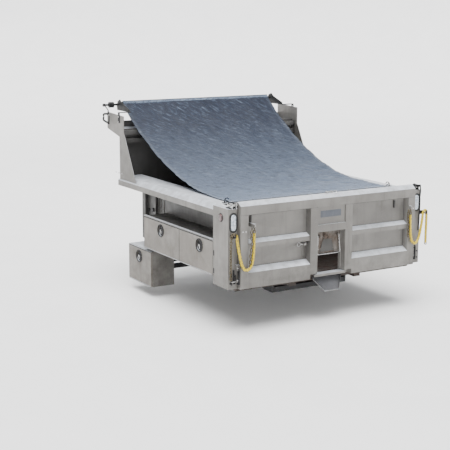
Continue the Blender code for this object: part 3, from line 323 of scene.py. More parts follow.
def lensMaterial(name, light, dark, pitch, see):
    # moulded lens: optic ribs across it, and a little dirt
    material, tree, shader, coords = startMaterial(name, 0.12, 0)
    ribs = tree.nodes.new("ShaderNodeTexWave")
    ribs.bands_direction = "Z"
    ribs.inputs["Scale"].default_value = pitch
    ribs.inputs["Distortion"].default_value = 0
    tree.links.new(coords, ribs.inputs["Vector"])
    cells = tree.nodes.new("ShaderNodeTexVoronoi")
    cells.inputs["Scale"].default_value = 60
    tree.links.new(coords, cells.inputs["Vector"])
    colour = rampOf(tree, cells.outputs["Distance"], ((0.1, light), (0.75, dark)))
    dirt = spread(tree, noiseAt(tree, coords, 40, 6), 0.55, 0.8, 0, 0.3)
    colour = mixed(tree, dirt, colour, (0.3, 0.28, 0.25))
    tree.links.new(colour, shader.inputs["Base Color"])
    shader.inputs["Coat Weight"].default_value = 0.6
    shader.inputs["Transmission Weight"].default_value = see
    bumped(tree, shader, ribs.outputs["Fac"], 0.5, 0.0008)
    return material


def wovenMaterial(name, thread, gap, pale, dust, sheen):
    # open-weave tarp cloth: crossing threads on the piece's own UV map, in metres
    material, tree, shader, coords = startMaterial(name, 0.48, 0)
    cloth = tree.nodes.new("ShaderNodeUVMap").outputs["UV"]
    threads = []
    for direction in ("X", "Y"):
        wave = tree.nodes.new("ShaderNodeTexWave")
        wave.bands_direction = direction
        wave.inputs["Scale"].default_value = 95
        wave.inputs["Distortion"].default_value = 0.6
        wave.inputs["Detail"].default_value = 1
        tree.links.new(cloth, wave.inputs["Vector"])
        threads.append(wave.outputs["Fac"])
    weave = sums(tree, "MULTIPLY", *threads)
    colour = mixed(tree, spread(tree, weave, 0.05, 0.5), gap, thread)
    # paler towards the low end: painted light where the flatter cloth catches more sky
    lowEndPaintedLight = spread(tree, axisOf(tree, cloth, 1), 0.1, 2.3, 1, 0)
    colour = mixed(tree, lowEndPaintedLight, colour, pale)
    turned = stretched(tree, cloth, (1, 1, 1), (0, 0, 0.64))
    # crinkle ridges lightened as painted highlight (towards the dust colour at the low end), troughs darkened as
    # painted crease shade
    ridgePaintedHighlight = spread(tree, noiseAt(tree, stretched(tree, turned, (11, 58, 1)), 1, 6, 0.66, 0.9), 0.54, 0.68, 0, 0.75)
    colour = mixed(tree, ridgePaintedHighlight, colour, mixed(tree, lowEndPaintedLight, pale, dust))
    troughPaintedShade = spread(tree, noiseAt(tree, stretched(tree, turned, (9, 46, 1)), 1.3, 6, 0.66, 0.9), 0.50, 0.36, 0, 0.85)
    colour = mixed(tree, troughPaintedShade, colour, gap)
    slub = spread(tree, noiseAt(tree, stretched(tree, cloth, (6, 60, 1)), 3, 4), 0.52, 0.75, 0, 0.35)
    colour = mixed(tree, slub, colour, gap)
    salt = spread(tree, noiseAt(tree, cloth, 7, 8, 0.72), 0.56, 0.75, 0, 0.45)
    low = spread(tree, axisOf(tree, cloth, 1), 0.2, 1.6, 1, 0.15)
    colour = mixed(tree, sums(tree, "MULTIPLY", salt, low), colour, dust)
    tree.links.new(colour, shader.inputs["Base Color"])
    shader.inputs["Specular IOR Level"].default_value = 0.25
    shader.inputs["Sheen Weight"].default_value = sheen
    shader.inputs["Sheen Roughness"].default_value = 0.5
    bumped(tree, shader, weave, 0.35, 0.0008)
    crinkle = noiseAt(tree, stretched(tree, turned, (11, 58, 1)), 1, 6, 0.66, 0.9)
    bumped(tree, shader, crinkle, 0.8, 0.012)
    return material


def sleeveMaterial():
    material, tree, shader, coords = startMaterial("yellowSleeve", 0.4, 0)
    # darker mottled patches over the yellow
    darkMottle = spread(tree, noiseAt(tree, coords, 70, 6, 0.7), 0.52, 0.72, 0, 0.7)
    colour = mixed(tree, darkMottle, (0.50, 0.36, 0.0), (0.16, 0.105, 0.004))
    tree.links.new(colour, shader.inputs["Base Color"])
    shader.inputs["Coat Weight"].default_value = 0.2
    bumped(tree, shader, noiseAt(tree, coords, 130, 3), 0.25, 0.001)
    return material


print("materials")
finishes = {
    "stainless": steelMaterial("dullStainless", (0.205, 0.197, 0.183), (0.132, 0.126, 0.117), (0.070, 0.062, 0.052)),
    # dark steel: painted shade on the toolbox shelf under the rail; the chute door plate uses it too
    "toolSteel": steelMaterial("toolSteel", (0.080, 0.078, 0.074), (0.055, 0.053, 0.050), (0.035, 0.032, 0.028), dusted=0),
    "door_stainless": steelMaterial("doorStainless", (0.190, 0.175, 0.155), (0.145, 0.134, 0.119), (0.09, 0.079, 0.064)),
    # very dark steel: painted shade on the bulkhead and recess walls; the gate welds and tabs use it too
    "shadedSteel": steelMaterial("shadedSteel", (0.085, 0.083, 0.08), (0.05, 0.049, 0.047), (0.03, 0.026, 0.022), dusted=0),
    # near-black steel: painted shade on the spill apron's face
    "apronSteel": steelMaterial("apronSteel", (0.055, 0.055, 0.06), (0.03, 0.03, 0.034), (0.08, 0.075, 0.07), dusted=0.12),
    # rust, made very dark as painted shade inside the covered bed
    "bedRust": rustMaterial("bedRust", (0.028, 0.023, 0.020), (0.034, 0.017, 0.010), (0.07, 0.062, 0.055), 0.8),
    "darkPlate": steelMaterial("darkPlate", (0.10, 0.11, 0.13), (0.07, 0.075, 0.09), (0.2, 0.2, 0.2), dusted=0),
    "black_steel": blackMaterial(),
    "weathered_steel": rustMaterial("saltedSteel", (0.13, 0.12, 0.108), (0.08, 0.045, 0.025), (0.33, 0.31, 0.29), 0.7),
    "bright_steel": platedMaterial("platedSteel", (0.50, 0.50, 0.50), (0.22, 0.21, 0.19)),
    "chainSteel": platedMaterial("chainSteel", (0.12, 0.10, 0.065), (0.008, 0.007, 0.006)),
    "tarp": wovenMaterial("wovenTarp", (0.017, 0.027, 0.056), (0.004, 0.006, 0.013), (0.105, 0.140, 0.20), (0.22, 0.26, 0.31), 0.03),
    "rubber": rubberMaterial(),
    "clear_lens": lensMaterial("clearLens", (0.85, 0.9, 0.95), (0.35, 0.42, 0.5), 260, 0.15),
    "red_lens": lensMaterial("redLens", (0.085, 0.003, 0.005), (0.02, 0.001, 0.001), 260, 0.05),
    "yellow_sleeve": sleeveMaterial(),
}
hemCloth = wovenMaterial("hemCloth", (0.045, 0.06, 0.09), (0.015, 0.019, 0.03), (0.14, 0.17, 0.22), (0.26, 0.29, 0.33), 0.03)
slotOf = {row["node"]: row["material_slot"] for row in frame["record"]["subparts"]}


# ---- CAD nodes: shape kept, edges eased where sheet is folded

easedNodes = {
    # node: (edge radius, segments)
    "corner_post": (0.0022, 2), "top_rail": (0.0016, 2), "tailgate_frame": (0.0018, 2),
    "rear_door": (0.0011, 2), "front_door": (0.0011, 2), "underbody_door": (0.0011, 2),
    "toolbox": (0.001, 2), "underbody_box": (0.001, 2), "shield_plate": (0.0015, 2),
    "latch_hook": (0.0015, 2), "tarp_bracket": (0.0012, 2), "tailgate_hinge": (0.0015, 2),
    "light_lens": (0.005, 3), "light_grommet": (0.0015, 2), "marker_light": (0.005, 3),
    "rear_door_latch": (0.003, 3), "front_door_latch": (0.003, 3), "underbody_latch": (0.003, 3),
    "chute_lip": (0.0012, 2), "spill_apron": (0.0012, 2), "subframe": (0.0015, 2),
}


def easedCopy(node, width, segments):
    source = frame["nodes"][node]
    bm = bmesh.new()
    bm.from_mesh(source.data)
    bmesh.ops.remove_doubles(bm, verts=bm.verts, dist=0.00002)
    bmesh.ops.dissolve_limit(bm, angle_limit=0.01, verts=bm.verts, edges=bm.edges)
    piece = meshPiece(node + "_eased", bm, source.material_slots[0].material, 50)
    bevel = piece.modifiers.new("eased", "BEVEL")
    bevel.width = width
    bevel.segments = segments
    bevel.limit_method = "ANGLE"
    bevel.angle_limit = math.radians(38)
    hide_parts(node)
    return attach(piece, bodyOf[node])


# finishes other than the slot's: bulkhead, side wall, spill apron and toolbox in dark steel as painted shade, the bed
# floor as rust with painted shade, brackets, crank and latches in black
otherFinish = {
    "bulkhead": "shadedSteel", "side_wall": "shadedSteel", "spill_apron": "apronSteel",
    "bed_floor": "bedRust", "toolbox": "toolSteel", "tarp_bracket": "black_steel", "tarp_crank": "black_steel",
    "rear_door_latch": "black_steel", "front_door_latch": "black_steel", "underbody_latch": "black_steel",
}
bodyOf = {node: body for body, nodes in frame["record"]["behaviour"]["bodies"].items() for node in nodes}


def easedOrCarried():
    for node, source in frame["nodes"].items():
        family = node.replace("_left", "").replace("_right", "")
        finish = finishes[otherFinish.get(family, slotOf[node])]
        for slot in source.material_slots:
            slot.material = finish
        if family in easedNodes:
            easedCopy(node, *easedNodes[family])


# ---- chains: links all along, a yellow sleeve over the part that hangs from the gate

leftRoute = (
    (-0.963, -0.074, 0.6195), (-0.963, -0.074, 0.52), (-0.966, -0.075, 0.42), (-0.974, -0.076, 0.32),
    (-0.992, -0.078, 0.245), (-1.025, -0.080, 0.205), (-1.065, -0.080, 0.200),
    (-1.097, -0.079, 0.235), (-1.117, -0.074, 0.30), (-1.132, -0.066, 0.38),
    (-1.143, -0.056, 0.46), (-1.149, -0.048, 0.525), (-1.157, -0.045, 0.553),
    (-1.178, -0.043, 0.565), (-1.199, -0.041, 0.553), (-1.206, -0.038, 0.52),
    (-1.207, -0.032, 0.42), (-1.205, -0.028, 0.30), (-1.205, -0.028, 0.18), (-1.205, -0.028, 0.10),
)
rightRoute = (
    (1.028, -0.074, 0.6195), (1.028, -0.074, 0.50), (1.031, -0.075, 0.40), (1.040, -0.077, 0.32),
    (1.058, -0.080, 0.265), (1.090, -0.082, 0.240), (1.128, -0.082, 0.262), (1.158, -0.077, 0.32),
    (1.182, -0.069, 0.40), (1.205, -0.060, 0.48), (1.219, -0.052, 0.545), (1.229, -0.048, 0.573),
    (1.250, -0.047, 0.585), (1.271, -0.045, 0.573), (1.280, -0.042, 0.53), (1.284, -0.038, 0.42),
    (1.286, -0.035, 0.32), (1.287, -0.035, 0.21),
)
chains = {
    "left": {"route": leftRoute, "length": 1.35, "sleeve": (0.06, 0.85), "slack": 0.40, "bend": (-1.12, -1.0)},
    "right": {"route": rightRoute, "length": 1.30, "sleeve": (0.06, 1.25), "slack": 0.32, "bend": (1.17, 1.06)},
}
chainSpec = {"wire": 0.0047, "pitch": 0.030, "width": 0.0145, "sleeve": 0.0148, "diameter": 0.025}


def smoothRoute(points, steps):
    places = [Vector(point) + Vector((0, postRear, postFoot)) for point in points]
    places = [2 * places[0] - places[1], *places, 2 * places[-1] - places[-2]]
    route = []
    for before, start, end, after in zip(places, places[1:], places[2:], places[3:]):
        for step in range(steps):
            t = step / steps
            route.append(
                0.5 * (2 * start + (end - before) * t
                + (2 * before - 5 * start + 4 * end - after) * t * t
                + (3 * start - before - 3 * end + after) * t ** 3)
            )
    return [*route, places[-2]]


def everySo(route, pitch):
    # points one pitch apart along the route, each with its direction
    found = []
    walked, goal = 0.0, pitch / 2
    for start, end in zip(route, route[1:]):
        span = (end - start).length
        while walked + span >= goal:
            found.append((start.lerp(end, (goal - walked) / span), (end - start).normalized()))
            goal += pitch
        walked += span
    return found


def chainLink(bm, wire, width, length):
    # a ring from a spun circle, pulled out into a long link along Y
    ring = bmesh.ops.create_circle(bm, segments=7, radius=wire)["verts"]
    bmesh.ops.rotate(bm, verts=ring, cent=(0, 0, 0), matrix=Matrix.Rotation(math.pi / 2, 3, "X"))
    bmesh.ops.translate(bm, verts=ring, vec=(width - wire, 0, 0))
    bmesh.ops.rotate(bm, verts=ring, cent=(0, 0, 0), matrix=Matrix.Rotation(math.pi / 12, 3, "Z"))
    edges = list({edge for vert in ring for edge in vert.link_edges})
    spun = bmesh.ops.spin(
        bm, geom=ring + edges, cent=(0, 0, 0), axis=(0, 0, 1), angle=2 * math.pi, steps=12, use_merge=True
    )
    verts = list(bm.verts)
    pull = length / 2 - width
    for side in (-1, 1):
        half = [vert for vert in verts if vert.co.y * side > 0]
        bmesh.ops.translate(bm, verts=half, vec=(0, side * pull, 0))
    return spun


def ringAlong(bm, route, radii, sides=12, closed=True):
    # a tube: one circle carried along the route
    rings = []
    for number, (place, radius) in enumerate(zip(route, radii)):
        ahead = route[min(number + 1, len(route) - 1)] - route[max(number - 1, 0)]
        turn = ahead.to_track_quat("Z", "Y").to_matrix().to_4x4()
        ring = bmesh.ops.create_circle(
            bm, segments=sides, radius=radius, cap_ends=False, matrix=Matrix.Translation(place) @ turn
        )["verts"]
        rings.append(ring)
    for first, second in zip(rings, rings[1:]):
        for k in range(sides):
            bm.faces.new((first[k], first[(k + 1) % sides], second[(k + 1) % sides], second[k]))
    if closed:
        bm.faces.new(rings[0][::-1])
        bm.faces.new(rings[-1])
    bmesh.ops.recalc_face_normals(bm, faces=bm.faces)


def makeChain(side):
    spec = chains[side]
    route = smoothRoute(spec["route"], 6)
    total = sum((b - a).length for a, b in zip(route, route[1:]))
    links = bmesh.new()
    template = bmesh.new()
    chainLink(template, chainSpec["wire"], chainSpec["width"], chainSpec["pitch"] + 3 * chainSpec["wire"])
    bmesh.ops.recalc_face_normals(template, faces=template.faces)
    linkMesh = bpy.data.meshes.new("link")
    template.to_mesh(linkMesh)
    template.free()
    for number, (place, ahead) in enumerate(everySo(route, chainSpec["pitch"])):
        turn = ahead.to_track_quat("Y", "Z").to_matrix().to_4x4()
        roll = Matrix.Rotation(math.pi / 4 + (number % 2) * math.pi / 2, 4, "Y")
        before = len(links.verts)
        links.from_mesh(linkMesh)
        links.verts.ensure_lookup_table()
        bmesh.ops.transform(
            links, matrix=Matrix.Translation(place) @ turn @ roll, verts=links.verts[before:]
        )
    chain = meshPiece(f"chainLinks_{side}", links, finishes["chainSteel"], 80)
    slackLinks = bmesh.new()
    count = int(spec["slack"] / chainSpec["pitch"])
    for number, (spot, ahead) in enumerate(everySo(route, chainSpec["pitch"])[:count]):
        turn = ahead.to_track_quat("Y", "Z").to_matrix().to_4x4()
        roll = Matrix.Rotation(math.pi / 4 + (number % 2) * math.pi / 2, 4, "Y")
        aside = Vector((-0.030 - 0.006 * math.sin(number * 0.9), -0.004, 0.0))
        before = len(slackLinks.verts)
        slackLinks.from_mesh(linkMesh)
        slackLinks.verts.ensure_lookup_table()
        bmesh.ops.transform(
            slackLinks, matrix=Matrix.Translation(spot + aside) @ turn @ roll, verts=slackLinks.verts[before:]
        )
    slack = meshPiece(f"chainSlack_{side}", slackLinks, finishes["chainSteel"], 80)
    bpy.data.meshes.remove(linkMesh)
    first, last = spec["sleeve"]
    covered, radii, walked = [], [], 0.0
    for start, end in zip(route, route[1:]):
        steps = 3
        for step in range(steps):
            at = walked + (end - start).length * step / steps
            if first <= at <= last:
                covered.append(start.lerp(end, step / steps))
                swell = 0.5 + 0.5 * math.cos(2 * math.pi * at / chainSpec["pitch"])
                radii.append(chainSpec["sleeve"] * (0.86 + 0.14 * swell))
        walked += (end - start).length
    tube = bmesh.new()
    ringAlong(tube, covered, radii)
    sleeve = meshPiece(f"chainSleeve_{side}", tube, finishes["yellow_sleeve"], 80)
    for piece in (chain, sleeve, slack):
        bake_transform(piece)
    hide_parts(f"chain_{side}")
    print(f"chain {side}: {total:.3f} m")


# ---- tarp


tarpSpec = {
    "half": 1.02, "rear": 0.30, "front": 2.782, "over": 0.046, "overFrom": 2.45, "low": 0.8125, "rise": 0.7895, "vertex": 0.60,
    "roller": (2.784, 1.614), "sag": 0.02, "sagEnd": 2.32, "thick": 0.0018, "hem": 0.045,
    "flat": (2.04, 2.66),
}


def tarpHeight(x, y):
    s = tarpSpec
    curve = s["low"] + s["rise"] * max(0, (y - s["vertex"]) / (s["roller"][0] - s["vertex"])) ** 2
    along = min(1, max(0, y - 0.45) / (s["sagEnd"] - 0.45))
    sag = s["sag"] * 4 * along * (1 - along) * (0.5 + 0.5 * x / s["half"])
    return max(s["low"], curve - sag)


def makeTarp():
    s = tarpSpec
    across, along = 160, 200
    bm = bmesh.new()
    bmesh.ops.create_grid(bm, x_segments=across, y_segments=along, size=0.5, calc_uvs=True)
    uvLayer = bm.loops.layers.uv.verify()
    flatPlace = {}
    for vert in bm.verts:
        u, v = vert.co.x + 0.5, vert.co.y + 0.5
        x = (2 * u - 1) * s["half"]
        y = s["rear"] + v * (s["front"] - s["rear"])
        flatPlace[vert] = (x, v * s["flat"][1])
        edge = abs(2 * u - 1)
        # folds fan from the roller's ends, long ripples cross the sag, small crinkles cover all
        ripple = noise.noise(Vector((x * 1.1, y * 4.2, 0.3))) * 0.007
        fan = noise.noise(Vector(((x + 0.55 * y) * 5.0, y * 1.2, 4.0))) * 0.006
        fan2 = noise.noise(Vector(((x - 0.5 * y) * 6.0, y * 1.0, 9.0))) * 0.004
        down, over = 0.8 * x - 0.6 * y, 0.6 * x + 0.8 * y
        crinkle = noise.noise(Vector((down * 3.2, over * 17, 2.0))) * 0.009
        crinkle += noise.noise(Vector((down * 8, over * 34, 7.0))) * 0.004
        scallop = math.sin(y * 21 + (3 if x > 0 else 0)) * 0.002 * max(0, edge - 0.8) / 0.2
        held = min(1, v / 0.05) * min(1, (1 - v) / 0.03)
        lift = 0.004 + (ripple + fan + fan2 + crinkle) * held + scallop * held
        lap = max(0, (y - s["overFrom"]) / (s["front"] - s["overFrom"]))
        z = tarpHeight(x, y) + max(0.0012, lift + 0.004) + s["over"] * lap * lap
        pull = 0.012 * math.sin(math.pi * v) * (1 if edge > 0.97 else edge ** 4)
        vert.co = (x - math.copysign(pull, x), y + postRear, z + postFoot)
    for face in bm.faces:
        for loop in face.loops:
            loop[uvLayer].uv = flatPlace[loop.vert]
        middle = face.calc_center_median()
        atHem = abs(middle.x) > s["half"] - s["hem"] or middle.y < s["rear"] + s["hem"] + postRear
        face.material_index = 1 if atHem else 0
    tarp = meshPiece("tarpCloth", bm, finishes["tarp"], 180)
    tarp.data.materials.append(hemCloth)
    solid = tarp.modifiers.new("thickness", "SOLIDIFY")
    solid.thickness = s["thick"]
    solid.offset = 0
    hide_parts("tarp")
    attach(tarp, "bed")


def makeTarpRoll():
    # the cloth that is still wound on the roller, with its loose end's ridge
    y, z = tarpSpec["roller"]
    bm = bmesh.new()
    bmesh.ops.create_cone(
        bm, cap_ends=True, segments=40, radius1=0.034, radius2=0.034, depth=2 * tarpSpec["half"] - 0.02
    )
    bmesh.ops.subdivide_edges(bm, edges=[e for e in bm.edges if e.calc_length() > 1], cuts=60)
    bmesh.ops.rotate(bm, verts=bm.verts, cent=(0, 0, 0), matrix=Matrix.Rotation(math.pi / 2, 3, "Y"))
    for vert in bm.verts:
        angle = math.atan2(vert.co.z, vert.co.y)
        swell = 1 + 0.03 * angle / math.pi + 0.03 * noise.noise(Vector((vert.co.x * 5, angle * 2, 0)))
        vert.co.y *= swell
        vert.co.z *= swell
    bmesh.ops.translate(bm, verts=bm.verts, vec=(0, y + postRear, z + postFoot))
    uvLayer = bm.loops.layers.uv.verify()
    for face in bm.faces:
        for loop in face.loops:
            place = loop.vert.co
            angle = math.atan2(place.z - z - postFoot, place.y - y - postRear)
            loop[uvLayer].uv = (place.x, angle * 0.04)
    roll = meshPiece("tarpRoll", bm, finishes["tarp"], 60)
    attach(roll, "tarp_roller")


# ---- small pieces


def at(x, y, z):
    # from the body's own measures, y from the posts' rear face and z from their feet
    return Vector((x, y + postRear, z + postFoot))


def addBox(bm, low, high, bevel=0):
    made = bmesh.ops.create_cube(bm, size=1)["verts"]
    low, high = at(*low), at(*high)
    for vert in made:
        vert.co = Vector([(low[k] + high[k]) / 2 + vert.co[k] * abs(high[k] - low[k]) for k in range(3)])
    if bevel:
        edges = list({edge for vert in made for edge in vert.link_edges})
        bmesh.ops.bevel(
            bm, geom=edges, offset=bevel, segments=2, affect="EDGES", profile=0.5, material=-1
        )


def addRod(bm, start, end, radius, sides=16, endRadius=None):
    start, end = at(*start), at(*end)
    along = end - start
    turn = along.to_track_quat("Z", "Y").to_matrix().to_4x4()
    bmesh.ops.create_cone(
        bm, cap_ends=True, segments=sides, radius1=radius, radius2=endRadius or radius,
        depth=along.length, matrix=Matrix.Translation((start + end) / 2) @ turn,
    )


def addTube(bm, points, radius, sides=8, steps=4):
    route = smoothRoute(points, steps)
    ringAlong(bm, route, [radius] * len(route), sides)


def addBead(bm, start, end, radius=0.0035):
    # a weld bead with the small swells of its passes
    start, end = at(*start), at(*end)
    count = max(2, int((end - start).length / 0.012))
    route = [start.lerp(end, k / count) for k in range(count + 1)]
    ringAlong(bm, route, [radius * (1.12 if k % 2 else 0.82) for k in range(count + 1)], 6)


def addBolt(bm, face, away, size=0.009):
    # a hexagon head on a washer, its face's centre and the way it points
    away = Vector(away)
    face = Vector(face)
    addRod(bm, face, face + away * 0.002, size * 1.35, 20)
    addRod(bm, face + away * 0.002, face + away * (0.002 + size * 0.65), size, 6, size * 0.92)


def place(name, bm, material, slot, body, smooth=35):
    piece = meshPiece(name, bm, material, smooth)
    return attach(piece, body)


sides = (("left", -1), ("right", 1))

gate = {"half": 1.106, "skin": 0.0315, "post": 0.09, "chute": 0.265, "out": -0.051}


def makeGateDetail():
    beads = bmesh.new()
    y = gate["skin"] - 0.001
    inner = gate["half"] - gate["post"]
    for side in (-1, 1):
        x0, x1 = side * gate["chute"], side * inner
        for low, high in ((0.204, 0.395), (0.487, 0.745)):
            addBead(beads, (x0, y, low), (x0, y, high))
            addBead(beads, (x1, y, low), (x1, y, high))
            addBead(beads, (x0, y, high), (x1, y, high), 0.003)
            addBead(beads, (x0, y, low), (x1, y, low), 0.003)
        for z in (0.405, 0.455):
            addBead(beads, (x0, -0.034, z), (x0 + side * 0.02, -0.034, z), 0.002)
        for edge in (gate["chute"], inner):
            addBead(beads, (side * edge, gate["out"] + 0.002, 0.742), (side * edge, -0.01, 0.742))
        addBead(beads, (side * 0.175, gate["out"] + 0.001, 0.7445), (side * gate["half"], gate["out"] + 0.001, 0.7445), 0.002)
    for z in (0.483, 0.56):
        addBead(beads, (-0.175, -0.036, z), (0.175, -0.036, z), 0.0025)
    # weld beads drawn in the dark steel: dark lines of painted shade along the panel edges
    place("gateWelds", beads, finishes["shadedSteel"], "stainless", "tailgate")
    trim = bmesh.new()
    for x in (-0.03, 0.03):
        addBox(trim, (x - 0.004, -0.005, 0.868), (x + 0.004, 0.03, 0.892), 0.0015)
    addRod(trim, (-0.055, 0.012, 0.884), (0.06, 0.012, 0.884), 0.005, 12)
    addTube(trim, ((0.055, 0.012, 0.884), (0.075, 0.008, 0.892), (0.08, -0.01, 0.885), (0.065, -0.02, 0.872)), 0.004)
    for side in (-1, 1):
        for x in (side * (inner + 0.03), side * (inner + 0.065)):
            addBolt(trim, (x, gate["out"], 0.60 + 0.02 * side), (0, -1, 0), 0.006)
    addBolt(trim, (-0.305, -0.0085, 0.37), (0, -1, 0), 0.006)
    addBolt(trim, (-0.963, -0.092, 0.638), (0, -1, 0), 0.004)
    addBolt(trim, (1.028, -0.092, 0.638), (0, -1, 0), 0.004)
    place("gateFittings", trim, finishes["bright_steel"], "bright_steel", "tailgate")
    sign = bmesh.new()
    addBox(sign, (-0.135, -0.0362, 0.632), (0.125, -0.0345, 0.702), 0.0006)
    place("blankPlate", sign, finishes["darkPlate"], "black_steel", "tailgate")
    tabs = bmesh.new()
    addBox(tabs, (-0.953, 0.012, 0.645), (-0.937, 0.031, 0.733), 0.001)
    addBox(tabs, (0.868, 0.012, 0.636), (0.884, 0.031, 0.716), 0.001)
    place("gateTabs", tabs, finishes["shadedSteel"], "stainless", "tailgate")


def makeChuteDetail():
    front = 0.0225
    streaks = bmesh.new()
    for side in (-1, 1):
        addBead(streaks, (side * 0.165, front - 0.001, 0.25), (side * 0.165, front - 0.001, 0.46), 0.003)
    addBead(streaks, (-0.165, front - 0.001, 0.462), (0.165, front - 0.001, 0.462), 0.003)
    for x, z in ((-0.09, 0.29), (0.07, 0.29), (-0.05, 0.375), (0.04, 0.375)):
        addBolt(streaks, (x, front - 0.004, z), (0, -1, 0), 0.005)
    place("chuteDoorDetail", streaks, finishes["weathered_steel"], "weathered_steel", "chute_door")
    plate = bmesh.new()
    face = front - 0.0042
    corners = ((-0.101, 0.259), (0.081, 0.259), (0.047, 0.388), (-0.059, 0.388))
    made = plate.faces.new([plate.verts.new(at(x, face, z)) for x, z in corners])
    grown = bmesh.ops.extrude_face_region(plate, geom=[made])["geom"]
    raised = [item for item in grown if isinstance(item, bmesh.types.BMVert)]
    bmesh.ops.translate(plate, verts=raised, vec=(0, -0.0022, 0))
    bmesh.ops.recalc_face_normals(plate, faces=plate.faces)
    bmesh.ops.bevel(
        plate, geom=list(plate.edges), offset=0.0007, segments=2, affect="EDGES", profile=0.5, material=-1
    )
    place("chuteDoorPlate", plate, finishes["toolSteel"], "stainless", "chute_door")


doorRows = (
    # name, latch, rear, front, low, high, latch place along
    ("rear_door", "rear_door_latch", 0.2975, 1.0085, 0.090, 0.446, 0.576),
    ("front_door", "front_door_latch", 1.0115, 1.8385, 0.090, 0.446, 1.433),
    ("underbody_door", "underbody_latch", 1.673, 2.237, -0.347, 0.057, 1.974),
)


def makeDoorDetail():
    face = 1.22
    for sideName, side in sides:
        for door, latch, rear, front, low, high, along in doorRows:
            z = high - 0.10
            cup = bmesh.new()
            ring = [
                Vector((side * (face + 0.0012), along + 0.066 * math.cos(t), z + 0.066 * math.sin(t)))
                for t in [2 * math.pi * k / 40 for k in range(41)]
            ]
            route = [at(*point) for point in ring]
            ringAlong(cup, route, [0.0062] * 41, 10, closed=False)
            bmesh.ops.remove_doubles(cup, verts=cup.verts, dist=0.00005)
            addRod(cup, (side * (face - 0.0138), along, z), (side * (face - 0.0125), along, z), 0.0605, 40)
            for k in range(4):
                t = math.pi / 4 + k * math.pi / 2
                y0, z0 = along + 0.066 * math.cos(t), z + 0.066 * math.sin(t)
                addRod(cup, (side * (face + 0.004), y0, z0), (side * (face + 0.009), y0, z0), 0.0035, 10)
            bmesh.ops.recalc_face_normals(cup, faces=cup.faces)
            place(f"{door}_cup_{sideName}", cup, finishes["black_steel"], "black_steel", f"{door}_{sideName}")
            seal = bmesh.new()
            addBox(seal, (side * face, rear + 0.002, high - 0.011), (side * (face + 0.0012), front - 0.002, high), 0.0004)
            for y in (rear + 0.0005, front - 0.0035):
                addBox(seal, (side * face, y, low + 0.004), (side * (face + 0.0008), y + 0.003, high - 0.011), 0.0003)
            place(f"{door}_seal_{sideName}", seal, finishes["rubber"], "rubber", f"{door}_{sideName}")
            paddle = bmesh.new()
            addBox(
                paddle, (side * (face - 0.0035), along - 0.007, z - 0.036),
                (side * (face - 0.0005), along + 0.007, z + 0.012), 0.0012,
            )
            addRod(paddle, (side * (face - 0.001), along, z), (side * (face + 0.004), along, z), 0.011, 24)
            place(f"{latch}_lock_{sideName}", paddle, finishes["bright_steel"], "bright_steel", f"{latch}_{sideName}")
            knuckles = bmesh.new()
            count = 2 * int((front - rear) / 0.12) + 1
            step = (front - rear - 0.02) / count
            for k in range(count):
                y0 = rear + 0.01 + k * step
                addRod(
                    knuckles, (side * (face + 0.001), y0 + 0.0006, low),
                    (side * (face + 0.001), y0 + step - 0.0006, low), 0.0045, 12,
                )
            place(f"{door}_hinge_{sideName}", knuckles, finishes["stainless"], "stainless", f"{door}_{sideName}")


